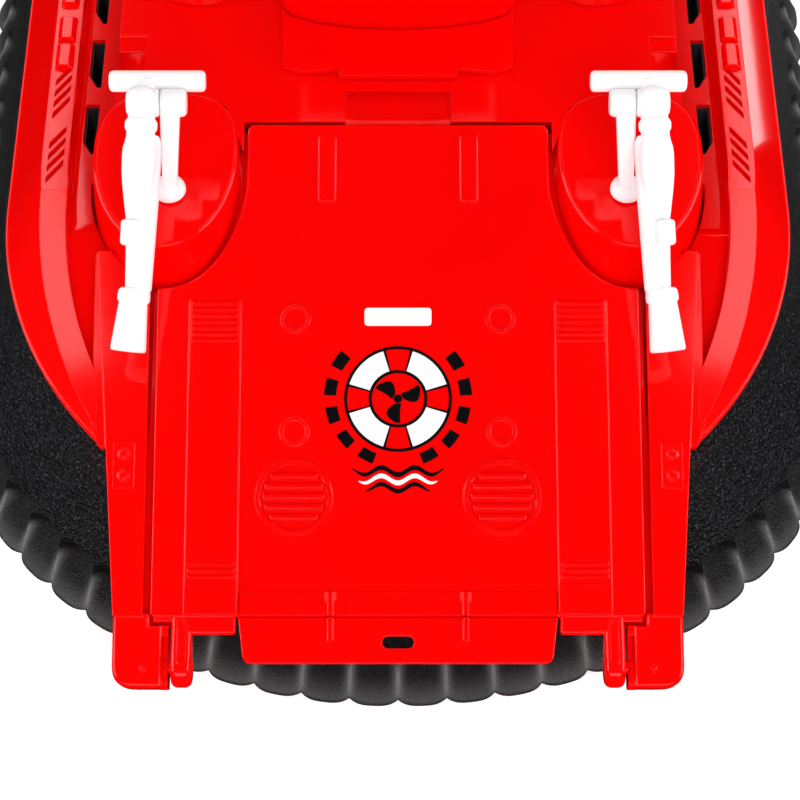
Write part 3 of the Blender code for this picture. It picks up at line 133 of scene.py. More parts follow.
class Shader:
    """Builds one material's node tree round a Principled shader."""

    def __init__(self, name: str) -> None:
        """Start a material.

        Args:
            name: the material's name.
        """
        self.material = bpy.data.materials.new(name)
        self.material.use_nodes = True
        self.tree = self.material.node_tree
        self.body = self.tree.nodes["Principled BSDF"]

    def node(
        self, kind: str, settings: Optional[dict] = None, sockets: Optional[dict] = None,
        out: Union[int, str] = 0,
    ) -> Socket:
        """Make any node.

        Args:
            kind: the node's type.
            settings: its own settings, set first.
            sockets: values or links of its inputs, by name or number.
            out: which output to hand back.

        Returns:
            The chosen output.
        """
        made = self.tree.nodes.new(kind)
        for key, value in (settings or {}).items():
            setattr(made, key, value)
        for key, value in (sockets or {}).items():
            self.feed(made.inputs[key], value)
        return Socket(self, made.outputs[out])

    def feed(self, socket: bpy.types.NodeSocket, value: Value) -> None:
        """Link a socket, or set it to a plain value.

        Args:
            socket: input to feed.
            value: a link, a number, or a colour or vector.
        """
        if isinstance(value, Socket):
            self.tree.links.new(value.output, socket)
        elif isinstance(value, (int, float)):
            socket.default_value = value
        else:
            socket.default_value = (*value, 1.0)[:len(socket.default_value)]

    def place(self) -> Socket:
        """Object coordinates, which are metres in the row frame."""
        return self.node("ShaderNodeTexCoord", out="Object")

    def height(self) -> Socket:
        """Height above the floor, in metres."""
        return self.node("ShaderNodeSeparateXYZ", None, {0: self.place()}, "Z")

    def noise(self, scale: float, detail: float = 2.0, distortion: float = 0.0) -> Socket:
        """Noise of about 0 to 1, by bumps for each metre, octaves and how far it is pulled about."""
        sockets = {"Vector": self.place(), "Scale": scale, "Detail": detail, "Distortion": distortion}
        return self.node("ShaderNodeTexNoise", None, sockets)

    def cells(self, scale: float) -> Socket:
        """Distance to the nearest cell centre, by the cells for each metre."""
        return self.node("ShaderNodeTexVoronoi", None, {"Vector": self.place(), "Scale": scale})

    def layer(self, name: str) -> Socket:
        """Value that a piece carries at its own points under a name."""
        settings = {"attribute_name": name, "attribute_type": "GEOMETRY"}
        return self.node("ShaderNodeAttribute", settings, out="Fac")

    def blend(self, share: Value, first: Value, second: Value) -> Socket:
        """Blend two colours, from the first at share 0 to the second at 1."""
        return self.node("ShaderNodeMix", {"data_type": "RGBA"}, {0: share, 6: first, 7: second}, 2)

    def rounded(self, radius: float) -> Socket:
        """Normal that rounds every edge by a radius."""
        return self.node("ShaderNodeBevel", {"samples": 4}, {"Radius": radius})

    def bump(
        self, height: Socket, depth: float, strength: float, normal: Optional[Socket] = None
    ) -> Socket:
        """Normal of a small relief.

        Args:
            height: relief from 0 to 1.
            depth: its full depth in metres.
            strength: how much of it shows.
            normal: normal underneath it.

        Returns:
            The bumped normal.
        """
        sockets = {"Height": height, "Distance": depth, "Strength": strength}
        if normal is not None:
            sockets["Normal"] = normal
        return self.node("ShaderNodeBump", None, sockets)

    def finish(self, **sockets: Value) -> bpy.types.Material:
        """Feed the Principled shader and hand the material back.

        Args:
            **sockets: socket names with underscores for spaces, and their values.

        Returns:
            The finished material.
        """
        for name, value in sockets.items():
            self.feed(self.body.inputs[name.replace("_", " ")], value)
        return self.material


@dataclass(frozen=True)
class Finish:
    """A finish: its material's name and the record's slot that it stands for."""

    name: str
    slot: str

    def make(self) -> bpy.types.Material:
        """Build the material, which each kind of finish does in its own way."""
        raise NotImplementedError

    def material(self) -> bpy.types.Material:
        """The finish's material, made on its first use."""
        return bpy.data.materials.get(self.name) or self.make()


@dataclass(frozen=True)
class MouldedPlastic(Finish):
    """Glossy injection-moulded plastic with faint flow marks and soft edges."""

    colour: Triple
    shaded: Triple
    roughness: float
    gloss: float = 0.5
    edge: float = 0.00032
    ripple: float = 0.10
    ripple_depth: float = 0.00006
    flow_scale: float = 24.0
    ripple_scale: float = 420.0
    pore_scale: float = 2600.0
    uneven: float = 0.04

    def make(self) -> bpy.types.Material:
        """Build the material: broad flow marks tint it, fine ripples and rounded edges its shine."""
        shader = Shader(self.name)
        flow = shader.noise(self.flow_scale, 3.0, 0.6)
        ripples = shader.noise(self.ripple_scale, 2.0)
        pores = shader.noise(self.pore_scale, 1.0)
        colour = shader.blend(flow.between(0.35, 0.75), self.colour, self.shaded)
        roughness = self.roughness + (flow - 0.5) * self.uneven + (pores - 0.5) * self.uneven
        normal = shader.bump(ripples, self.ripple_depth, self.ripple, shader.rounded(self.edge))
        return shader.finish(
            Base_Color=colour, Roughness=roughness, Normal=normal, Specular_IOR_Level=self.gloss
        )


@dataclass(frozen=True)
class GrainedSkirt(Finish):
    """Black skirt plastic: coarse leather grain, with painted light: the lobes' feet pale as a reflection of
    the floor above a dark contact line, the ridges pale as a highlight, and specks as glints.
    """

    name: str = "grained_skirt"
    slot: str = "black_skirt"
    colour: Triple = (0.0040, 0.0040, 0.0048)
    # Painted reflection of the white floor on the lobes' feet.
    worn: Triple = (0.100, 0.098, 0.099)
    # Painted highlight: the ridges' pale colour stands in for the light that they catch.
    rubbed: Triple = (0.190, 0.187, 0.189)
    # Painted glints: light specks painted into the colour, most on the upper band.
    glint: Triple = (0.060, 0.060, 0.070)
    band: Pair = (0.0150, 0.0190)
    # Below the foot height the feet stay black as a painted contact shadow; the painted floor reflection
    # fades out towards the top of the pale span.
    foot: float = 0.0012
    pale: Pair = (-0.0020, 0.0080)
    pebble_scale: float = 1050.0
    grit_scale: float = 1700.0
    dust_scale: float = 90.0
    grain_depth: float = 0.0007

    def make(self) -> bpy.types.Material:
        """Build the material: grain grows with height, and painted light pales the lobes' feet, as a floor
        reflection, and the ridges, as a highlight.
        """
        shader = Shader(self.name)
        band = shader.height().between(*self.band)
        pebbles = shader.cells(self.pebble_scale)
        grit = shader.noise(self.grit_scale, 3.0, 0.4)
        mottle = shader.noise(self.dust_scale, 3.0)
        relief = pebbles * (0.45 + 0.85 * band) + grit * 1.1
        # Painted light: the lobes' feet are pale as a reflection of the floor, mottled at random, and the
        # lowest millimetre stays black as a contact shadow.
        low = (1.0 - shader.height().between(*self.pale)) * shader.height().between(0.0, self.foot)
        colour = shader.blend(low * (0.55 + 0.6 * mottle), self.colour, self.worn)
        # Painted highlight along the lobes' ridges, read from the ridge layer that the skirt carries.
        colour = shader.blend(shader.layer("ridge") * (0.75 + 0.5 * mottle), colour, self.rubbed)
        # Painted glints where the grit noise is high, strongest on the upper band.
        colour = shader.blend(grit.between(0.56, 0.72) * (0.25 + 0.75 * band), colour, self.glint)
        roughness = 0.46 - 0.24 * band + (mottle - 0.5) * 0.10 + (grit - 0.5) * 0.10
        normal = shader.bump(relief, self.grain_depth, 1.0)
        return shader.finish(Base_Color=colour, Roughness=roughness, Normal=normal, Specular_IOR_Level=0.5)


@dataclass(frozen=True)
class DarkGlazing(Finish):
    """Dark glossy window plastic with a faint blue depth."""

    name: str = "dark_window"
    slot: str = "dark_glazing"
    deep: Triple = (0.012, 0.018, 0.030)
    light: Triple = (0.030, 0.042, 0.060)

    def make(self) -> bpy.types.Material:
        """Build the material: slow waves in its colour and shine."""
        shader = Shader(self.name)
        wave = shader.noise(90.0, 2.0)
        colour = shader.blend(wave, self.deep, self.light)
        roughness = 0.06 + wave * 0.05
        normal = shader.bump(wave, 0.0002, 0.15)
        return shader.finish(Base_Color=colour, Roughness=roughness, Normal=normal, Coat_Weight=0.3)


@dataclass(frozen=True)
class PrintedInk(Finish):
    """Pad-printed ink with slightly uneven cover."""

    colour: Triple
    thin: Triple
    gloss: float = 0.45
    speck_scale: float = 2200.0

    def make(self) -> bpy.types.Material:
        """Build the material: fine specks where the ink is thin."""
        shader = Shader(self.name)
        specks = shader.noise(self.speck_scale, 2.0)
        colour = shader.blend(specks.between(0.62, 0.80) * 0.5, self.colour, self.thin)
        roughness = 0.30 + specks * 0.12
        normal = shader.bump(specks, 0.00002, 0.2)
        return shader.finish(
            Base_Color=colour, Roughness=roughness, Normal=normal, Specular_IOR_Level=self.gloss
        )


class Finishes:
    """All finishes of the craft."""

    RED = MouldedPlastic(
        "red_moulding", "red_plastic", (0.900, 0.0010, 0.0008), (0.860, 0.0006, 0.0006),
        roughness=0.07, gloss=0.40,
    )
    WHITE = MouldedPlastic(
        "white_moulding", "white_plastic", (0.920, 0.906, 0.910), (0.895, 0.872, 0.880),
        roughness=0.30, gloss=0.45, edge=0.0004, ripple=0.06,
    )
    BLACK = MouldedPlastic(
        "black_moulding", "black_plastic", (0.022, 0.022, 0.025), (0.032, 0.032, 0.035),
        roughness=0.42, gloss=0.45, edge=0.0004, ripple=0.2,
    )
    SKIRT = GrainedSkirt()
    GLAZING = DarkGlazing()
    INK_BLACK = PrintedInk(
        "black_print", "black_plastic", (0.003, 0.003, 0.004), (0.012, 0.003, 0.003), gloss=0.10
    )
    INK_WHITE = PrintedInk("white_print", "white_plastic", (0.900, 0.890, 0.890), (0.860, 0.700, 0.700))


# Lines of the craft, which its sub-assemblies share.

GAP = 0.0003
DECK_Z = 0.0760
SLOPE = math.radians(20.0)
SLOPE_TOP_Y = -0.0705
SLOPE_NORMAL = (0.0, -math.sin(SLOPE), math.cos(SLOPE))
RAMP_LENGTH = 0.1275
HINGE = (-0.2005, 0.0250)


def on_slope(points: Array) -> Array:
    """Place of points given across the bow slope, down it from the ramp's top edge, and above its face.

    Args:
        points: points of any grid.

    Returns:
        The points in the row frame.
    """
    across, along, lift = np.moveaxis(points, -1, 0)
    y = SLOPE_TOP_Y - along * math.cos(SLOPE) - lift * math.sin(SLOPE)
    z = DECK_Z - along * math.sin(SLOPE) + lift * math.cos(SLOPE)
    return np.stack([across, y, z], -1)


def across_craft(points: Array) -> Array:
    """Place of points given by Y, Z and then X."""
    return points[..., [2, 0, 1]]


# Shape toolkit.


def unit(vectors: Array) -> Array:
    """Vectors divided by their lengths."""
    return vectors / np.linalg.norm(vectors, axis=-1, keepdims=True)


def turned_to(origin: Sequence[float], axis: Sequence[float], across: Sequence[float] = (1, 0, 0)) -> Place:
    """Place that carries local Z onto an axis.

    Args:
        origin: where the local origin goes.
        axis: direction of local Z.
        across: direction near local X.

    Returns:
        A function that places local points.
    """
    up = unit(np.array(axis, float))
    side = np.array(across, float)
    side = unit(side - up * (side @ up))
    basis = np.array([side, np.cross(up, side), up])
    return lambda points: points @ basis + np.array(origin, float)


def upright(across: float, along: float, lift: float = 0.0) -> Place:
    """Place of a shape that stands square on the bow slope."""
    return turned_to(on_slope(np.array([across, along, lift])), SLOPE_NORMAL)


def axle(x: float, y: float, z: float) -> Place:
    """Place of a shape turned round a line along X."""
    return turned_to((x, y, z), (1, 0, 0), (0, 1, 0))


def travelled(line: Array) -> Array:
    """Length run along a line up to each of its points."""
    return np.concatenate([[0.0], np.cumsum(np.linalg.norm(np.diff(line, axis=0), axis=1))])


def at_lengths(line: Array, lengths: Array) -> Array:
    """Points of a line at given lengths along it."""
    return np.stack([np.interp(lengths, travelled(line), column) for column in line.T], 1)


def quarter(radius: float, steps: int) -> Array:
    """Quarter round: at angle a it lies r(1 - cos a) inside the wall and r(1 - sin a) short of the top.

    Args:
        radius: the round's radius, or 0 for a plain corner.
        steps: stretches of the round.

    Returns:
        The way in and the way short of the top, for each point.
    """
    angle = np.linspace(0.0, np.pi / 2, steps + 1 if radius > 0 else 1)
    return radius * (1.0 - np.stack([np.cos(angle), np.sin(angle)], 1))


def rounded(corners: Sequence[Sequence[float]], reach: Union[float, Row], steps: int = 5) -> Array:
    """Round an outline's corners.

    Each corner becomes a quadratic curve (1-k)^2 A + 2k(1-k) P + k^2 B, from A on the side before the
    corner P to B on the side after it, both one reach away from it.

    Args:
        corners: the outline's corners.
        reach: how far from each corner its curve starts.
        steps: stretches in each curve.

    Returns:
        The rounded outline.
    """
    points = np.array(corners, float)
    reaches = np.broadcast_to(np.array(reach, float), len(points))[:, None]
    ends = []
    for turn in (1, -1):
        toward = np.roll(points, turn, 0) - points
        most = 0.49 * np.linalg.norm(toward, axis=1, keepdims=True)
        ends.append((points + unit(toward) * np.minimum(reaches, most))[:, None])
    k = np.linspace(0.0, 1.0, steps + 1)[None, :, None]
    curve = (1 - k) ** 2 * ends[0] + 2 * k * (1 - k) * points[:, None] + k ** 2 * ends[1]
    flat = curve.reshape(-1, 2)
    return flat[np.linalg.norm(flat - np.roll(flat, 1, 0), axis=1) > 1e-6]


def oblong(across: Sequence[float], along: Sequence[float], reach: float, steps: int = 4) -> Array:
    """Outline of a rectangle with rounded corners."""
    (x0, x1), (y0, y1) = across, along
    return rounded([(x0, y0), (x1, y0), (x1, y1), (x0, y1)], reach, steps)


def inset(outline: Array, distance: float) -> Array:
    """Move a closed outline's sides inwards, and each corner to where its two moved sides cross.

    A side that would turn round, at a corner tighter than the distance, is left out: its ends go to
    the crossing of the sides on either hand of it, so that the outline never folds over itself.

    Args:
        outline: points of the outline.
        distance: how far each side moves.

    Returns:
        The smaller outline, with as many points.
    """
    passes, parallel, turned_round = 8, 1e-5, -1e-9
    following = np.roll(outline, -1, 0)
    turn = np.sign(np.sum(outline[:, 0] * following[:, 1] - following[:, 0] * outline[:, 1]))
    side = unit(following - outline)
    line = outline + np.stack([-side[:, 1], side[:, 0]], 1) * turn * distance
    index = np.arange(len(outline))
    good = np.ones(len(outline), bool)
    moved = outline
    for _ in range(passes):
        kept = index[good]
        place = np.searchsorted(kept, index)
        after, before = kept[place % len(kept)], kept[place - 1]
        gap, first, second = line[after] - line[before], side[before], side[after]
        cross = first[:, 0] * second[:, 1] - first[:, 1] * second[:, 0]
        straight = np.abs(cross) < parallel
        along = (gap[:, 0] * second[:, 1] - gap[:, 1] * second[:, 0]) / np.where(straight, 1.0, cross)
        moved = np.where(straight[:, None], line[after], line[before] + first * along[:, None])
        good &= np.sum((np.roll(moved, -1, 0) - moved) * side, 1) > turned_round
    return moved


def stack(outline: Array, stations: Sequence[Pair]) -> Array:
    """Rings of an outline, each moved inwards by a way and set at a level."""
    levels = [np.full(len(outline), level) for _, level in stations]
    return np.array([np.column_stack([inset(outline, way), z]) for (way, _), z in zip(stations, levels)])


class Block(NamedTuple):
    """Oblong block on the bow slope, in millimetres: its spans, then its corner and edge rounds."""

    across: Pair
    along: Pair
    lift: Pair
    corner: float
    edge: float
    foot: float = 0.0
    corner_steps: int = 4
    steps: int = 3


@dataclass
class Form:
    """Gathers surfaces drawn for the +X side, carries them to its side and makes one mesh of them."""

    side: Side = Side.LEFT
    points: list[Array] = field(default_factory=list)
    faces: list[list[int]] = field(default_factory=list)
    count: int = 0

    def grid(self, surface: Array, round_rows: bool = False, round_columns: bool = True) -> None:
        """Take in a surface given as a grid, with a four-sided face between neighbouring points.

        Args:
            surface: points by row and column.
            round_rows: whether the last row joins the first.
            round_columns: whether the last column joins the first.
        """
        rows, columns = surface.shape[:2]
        index = self.count + np.arange(rows * columns).reshape(rows, columns)
        if round_rows:
            index = np.vstack([index, index[:1]])
        if round_columns:
            index = np.hstack([index, index[:, :1]])
        corners = np.stack([index[:-1, :-1], index[:-1, 1:], index[1:, 1:], index[1:, :-1]], -1)
        self.points.append((surface * (self.side.value, 1.0, 1.0)).reshape(-1, 3))
        self.faces.extend(corners.reshape(-1, 4).tolist())
        self.count += rows * columns

    def rings(self, rings: Array) -> None:
        """Skin closed rings of equal point counts, with flat caps on the first and last.

        Args:
            rings: points by ring and place.
        """
        start, columns = self.count, rings.shape[1]
        self.grid(rings)
        self.faces.append(list(range(start, start + columns))[::-1])
        self.faces.append(list(range(self.count - columns, self.count)))

    def slab(
        self, outline: Array, low: float, high: float, edge: float, foot: float = 0.0, steps: int = 3,
        place: Place = on_slope,
    ) -> None:
        """Take in a slab with quarter rounds for edges, and a flat margin round its top where that is broad.

        Args:
            outline: the slab's plan.
            low: local height of its underside.
            high: local height of its top.
            edge: radius of the upper edge.
            foot: radius of the lower edge.
            steps: stretches in each round.
            place: puts local points in the row frame.
        """
        broad, margin = 4.0 * MM, 0.2 * MM
        lower, upper = quarter(foot, steps)[::-1], quarter(edge, steps)
        stations = [*(lower + (0.0, low)), *(upper * (1, -1) + (0.0, high))]
        if edge > 0 and np.ptp(outline, axis=0).min() > broad:
            stations.append((edge + margin, high))
        self.rings(place(stack(outline, stations)))

    def block(self, block: Block) -> None:
        """Take in a block on the bow slope.

        Args:
            block: its measures.
        """
        across, along, (low, high) = (np.array(span) * MM for span in block[:3])
        outline = oblong(across, along, block.corner * MM, block.corner_steps)
        self.slab(outline, low, high, block.edge * MM, block.foot * MM, block.steps)

    def lathe(
        self, profile: Union[Array, Profile], place: Place, sides: int = 40, closed: bool = False
    ) -> None:
        """Take in a turned shape: radius r at angle a goes to (r cos a, r sin a).

        Args:
            profile: radius and height of each step, in millimetres.
            place: puts local points in the row frame.
            sides: steps round.
            closed: whether the profile is itself a closed loop.
        """
        radius, height = (np.array(profile, float) * MM).T[..., None]
        angle = np.linspace(0.0, 2 * np.pi, sides, endpoint=False)
        surface = np.stack([radius * np.cos(angle), radius * np.sin(angle), height + 0.0 * angle], -1)
        self.grid(place(surface), closed)

    def sweep(self, path: Array, section: Array, up: Sequence[float]) -> None:
        """Carry a closed section along a path, square to it at each point.

        Args:
            path: points of the path.
            section: points across and up, for one section or for each point of the path.
            up: direction near the section's own up.
        """
        along = unit(np.gradient(path, axis=0))
        side = unit(np.cross(along, np.array(up, float)))
        lift = np.cross(side, along)
        section = np.broadcast_to(section, (len(path), *section.shape[-2:]))
        self.rings(path[:, None] + side[:, None] * section[..., :1] + lift[:, None] * section[..., 1:])

    def mesh(self, name: str) -> bpy.types.Mesh:
        """Mesh of all that was taken in.

        Args:
            name: the mesh's name.

        Returns:
            The mesh.
        """
        mesh = bpy.data.meshes.new(name)
        mesh.from_pydata(np.vstack(self.points).tolist(), [], self.faces)
        return mesh

    def make(
        self, name: str, body: str, finish: Finish, replaces: Sequence[str] = (), angle: float = 38.0,
        layers: Optional[dict[str, Array]] = None,
    ) -> None:
        """Make the piece: doubles merged, faces outward, smooth but for its corners.

        Args:
            name: the piece's name.
            body: CAD body that it rides on.
            finish: its finish.
            replaces: CAD nodes that it stands for.
            angle: corners sharper than this stay sharp, in degrees.
            layers: values at the points, by name, for the finish to read.
        """
        mesh = self.mesh(name)
        for key, values in (layers or {}).items():
            attribute = mesh.attributes.new(key, "FLOAT", "POINT")
            attribute.data.foreach_set("value", values.astype(np.float32).ravel())
        dress(mesh, body, finish, replaces, angle)


def dress(
    mesh: bpy.types.Mesh, body: str, finish: Finish, replaces: Sequence[str], angle: float,
    flat: float = 0.0,
) -> None:
    """Tidy a mesh, make a piece of it under its own name, give it its finish and let it ride.

    Args:
        mesh: the mesh, in the row frame.
        body: CAD body that it rides on.
        finish: its finish.
        replaces: CAD nodes that it stands for.
        angle: corners sharper than this stay sharp, in degrees.
        flat: faces that lie in one plane to this angle are joined, in degrees.
    """
    same_point = 0.002 * MM
    work = bmesh.new()
    work.from_mesh(mesh)
    bmesh.ops.remove_doubles(work, verts=work.verts, dist=same_point)
    if flat > 0:
        bmesh.ops.dissolve_limit(work, angle_limit=math.radians(flat), verts=work.verts, edges=work.edges)
    bmesh.ops.recalc_face_normals(work, faces=work.faces)
    work.to_mesh(mesh)
    work.free()
    mesh.shade_smooth()
    mesh.set_sharp_from_angle(angle=math.radians(angle))
    mesh.materials.clear()
    mesh.materials.append(finish.material())
    piece = bpy.data.objects.new(mesh.name, mesh)
    bpy.context.scene.collection.objects.link(piece)
    piece.modifiers.new("even_shading", "WEIGHTED_NORMAL").keep_sharp = True
    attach(piece, body)
    if replaces:
        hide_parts(*replaces)
    LOG.info("%s: %d faces, rides on %s", piece.name, len(mesh.polygons), body)


def moulded_copy(node: str, finish: Finish, angle: float = 32.0) -> None:
    """Show a CAD node by a merged, smoothly shaded copy of its mesh.

    Args:
        node: the CAD node.
        finish: the copy's finish.
        angle: corners sharper than this stay sharp, in degrees.
    """
    source = frame["nodes"][node]
    mesh = source.data.copy()
    mesh.name = f"{node}_moulded"
    dress(mesh, source["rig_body"], finish, [node], angle, flat=0.4)


# Sub-assemblies.


@dataclass(frozen=True)
class Plan:
    """Plan of the skirt's foot: bow quarter ellipse, straight side, corner arc and half transom."""

    half: float = 0.1250
    bow_centre: float = -0.0973
    bow_length: float = 0.1025
    stern: float = 0.2068
    corner: float = 0.0550
    corner_shrink: float = 0.6

    def at(self, share: Array, way: Union[Array, float] = 0.0) -> Array:
        """Points of the +X half.

        A share from 0 to 1 runs round the bow ellipse, to 2 along the side, to 3 round the corner and
        to 4 along the transom, all moved inwards by a way.

        Args:
            share: places along the half plan.
            way: how far inside it.

        Returns:
            X and Y of each place.
        """
        share, way = np.broadcast_arrays(share, way)
        half, stern, corner = self.half - way, self.stern - way, self.corner - self.corner_shrink * way
        bow = np.clip(share, 0, 1) * np.pi / 2
        turn = np.clip(share - 2, 0, 1) * np.pi / 2
        bow_y = self.bow_centre - (self.bow_length - way) * np.cos(bow)
        side_y = self.bow_centre + (stern - corner - self.bow_centre) * (share - 1)
        x = [half * np.sin(bow), half, half - corner + corner * np.cos(turn)]
        y = [bow_y, side_y, stern - corner + corner * np.sin(turn)]
        spans, stern_x = [share <= 1, share <= 2, share <= 3], (half - corner) * (4 - share)
        return np.stack([np.select(spans, x, stern_x), np.select(spans, y, stern)], -1)

    def even(self, count: int) -> Array:
        """Shares that divide the half plan into stretches of equal length.

        Args:
            count: how many stretches.

        Returns:
            The shares, one more than the stretches.
        """
        dense = np.linspace(0.0, 4.0, 4001)
        length = travelled(self.at(dense))
        return np.interp(np.linspace(0.0, length[-1], count + 1), length, dense)


@dataclass
class Skirt:
    """Black skirt: a grained band that overhangs a row of scooped lobes with crisp ridges between them."""

    plan: Plan = Plan()
    rim_half: float = 0.1050
    rim_centre: float = -0.0753
    lobes: int = 46
    steps: int = 14
    top: float = 0.0444
    rows: tuple[tuple[float, int], ...] = ((0.0, 8), (0.0120, 12), (0.0195, 11))
    band_foot: float = 0.0190
    levels: Row = (
        0.0, 0.003, 0.006, 0.009, 0.0120, 0.0135, 0.0150, 0.0175, 0.019, 0.027, 0.034, 0.040, 0.0444
    )
    scoop: Row = (
        0.0, 0.0019, 0.0042, 0.0068, 0.0096, 0.0106, 0.0102, 0.0093, 0.0094, 0.0124, 0.0154, 0.0182, 0.0206
    )
    ridge_levels: Row = (0.0, 0.0170, 0.0195, 0.027, 0.034, 0.040, 0.0444)
    ridge: Row = (0.0018, 0.0076, 0.0094, 0.0124, 0.0154, 0.0182, 0.0206)
    ridge_sharpness: float = 3.2
    inner_levels: Row = (0.0422, 0.036, 0.024, 0.0)
    inner: Row = (0.0210, 0.0192, 0.0142, 0.0046)
    # Share of the painted ridge highlight by height: faint at the floor, full up the lobes, none from 14 mm
    # up.
    fade_levels: Row = (0.0, 0.0008, 0.0020, 0.0105, 0.0140)
    fade: Row = (0.1, 0.45, 0.85, 1.0, 0.0)
    rub_sharpness: float = 7.0
    cut_half: float = 0.0768
    cut_depth: float = 0.0056
    cut_start: float = 0.03

    def reach(self, shares: Array) -> Array:
        """How much further in the rim lies than along the sides, where its bow curve leaves the skirt's.

        Round the bow it is the way w at which the skirt's ellipse, moved in by w, meets the rim's circle.

        Args:
            shares: places along the half plan.

        Returns:
            The extra way at each place.
        """
        plan, radius = self.plan, self.rim_half
        angle = np.clip(shares, 0.0, 1.0) * np.pi / 2
        across = plan.half * np.sin(angle)
        along = self.rim_centre - plan.bow_centre + plan.bow_length * np.cos(angle)
        middle = across * np.sin(angle) + along * np.cos(angle)
        bow = middle - np.sqrt(middle ** 2 - across ** 2 - along ** 2 + radius ** 2)
        ahead = np.clip(self.rim_centre - plan.at(shares)[..., 1], 0.0, radius)
        side = plan.half - np.sqrt(radius ** 2 - ahead ** 2)
        way = np.select([shares <= 1, shares <= 2], [bow, side], 0.0)
        return np.clip(way - (plan.half - radius), 0.0, None)

    def face(self, shares: Array, heights: Array, way: Array) -> Array:
        """Face that lies inside the plan by a way, and above the band's foot leans in under the rim.

        Args:
            shares: places along the half plan.
            heights: levels.
            way: how far inside, by level and place.

        Returns:
            Points by level and place.
        """
        rise = np.clip((heights - self.band_foot) / (self.top - self.band_foot), 0.0, 1.0)
        flat = self.plan.at(shares, way + rise[:, None] * self.reach(shares)[None, :])
        return np.concatenate([flat, np.broadcast_to(heights[:, None, None], (*flat.shape[:2], 1))], -1)

    def nearness(self, count: int) -> Array:
        """How near each place round the half plan lies to a ridge, from 0 in a lobe's middle to 1."""
        phase = (np.arange(count) / self.steps) % 1.0
        return 1.0 - np.minimum(phase, 1.0 - phase) * 2.0

    def scooped(self, count: int, heights: Array) -> Array:
        """Way in of the outer face, on the scoop curve within lobes and on the ridge line between them.

        At a place of nearness n to the ridge the share of the scoop is 1 - n^p, p being the sharpness.

        Args:
            count: places round the half plan.
            heights: levels.

        Returns:
            The way by level and place.
        """
        middle = 1.0 - self.nearness(count) ** self.ridge_sharpness
        scoop = np.interp(heights, self.levels, self.scoop)[:, None]
        ridge = np.interp(heights, self.ridge_levels, self.ridge)[:, None]
        return ridge + (scoop - ridge) * middle[None, :]

    def under_ramp(self, points: Array) -> Array:
        """Lower the points that would stand above the underside of the bow slope, as the node is cut.

        Args:
            points: the skirt's points.

        Returns:
            The lowered points.
        """
        ahead = SLOPE_TOP_Y - points[..., 1]
        limit = DECK_Z - ahead * math.tan(SLOPE) - self.cut_depth / math.cos(SLOPE)
        under = (np.abs(points[..., 0]) < self.cut_half) & (ahead > self.cut_start)
        height = np.where(under, np.clip(limit, 0.0, points[..., 2]), points[..., 2])
        return np.concatenate([points[..., :2], height[..., None]], -1)

    def build(self) -> None:
        """Build the skirt, whose share of painted ridge highlight is n^q by nearness n, on the lobes' outer
        face.
        """
        shares = self.plan.even(self.lobes * self.steps)
        ends = [*(start for start, _ in self.rows[1:]), self.top]
        spans = zip(self.rows, ends)
        rows = [np.linspace(start, end, count, endpoint=False) for (start, count), end in spans]
        heights = np.concatenate([*rows, [self.top]])
        outer = self.face(shares, heights, self.scooped(len(shares), heights))
        inner = self.face(shares, np.array(self.inner_levels), np.array(self.inner)[:, None])
        half = self.under_ramp(np.concatenate([outer, inner]))
        fade = np.interp(heights, self.fade_levels, self.fade)[:, None]
        # Painted highlight: a share that grows towards each ridge, handed to the finish as the ridge layer.
        rubbed = fade * self.nearness(len(shares))[None, :] ** self.rub_sharpness
        rubbed = np.vstack([rubbed, np.zeros(inner.shape[:2])])
        form = Form()
        form.grid(np.hstack([half, half[:, -2:0:-1] * (-1.0, 1.0, 1.0)]), True)
        layers = {"ridge": np.hstack([rubbed, rubbed[:, -2:0:-1]])}
        form.make("skirt_fluted", "hull", Finishes.SKIRT, ["skirt"], 50.0, layers)


@dataclass
class Hull:
    """Red upper hull, hold and bottom, shown by merged copies of their nodes."""

    slot: Profile = (
        (0.0800, 0.0), (0.0813, 0.0), (0.0836, 0.0042), (0.0836, 0.0168), (0.0800, 0.0168)
    )
    slot_pitch: float = 0.0228
    slot_first: float = -0.0691
    slot_total: int = 10
    # Black walls in the slots are painted shade, for slots that fall dark.
    liner_faces: Pair = (0.00002, 0.0005)
    liner_levels: Pair = (0.0607, 0.0460)

    def liners(self, side: Side) -> None:
        """Line a side's slots with black walls a little way below the trench floor, as painted shade where
        the slots fall dark.

        Args:
            side: side of the craft.
        """
        form = Form(side)
        (near, far), (top, foot) = self.liner_faces, self.liner_levels
        for number in range(self.slot_total):
            outline = np.array(self.slot) + (0.0, self.slot_first + self.slot_pitch * number)
            form.grid(stack(outline, [(near, top), (far, top), (far, foot), (near, foot)]), True)
        form.make(f"slot_liners_{side.word}", "hull", Finishes.BLACK, angle=30.0)

    def build(self) -> None:
        """Show the hull's nodes and put painted shade in its slots."""
        moulded_copy("hull_shell", Finishes.RED, 16.0)
        moulded_copy("hold_tub", Finishes.RED)
        moulded_copy("bottom_pan", Finishes.BLACK)
        for side in Side:
            self.liners(side)


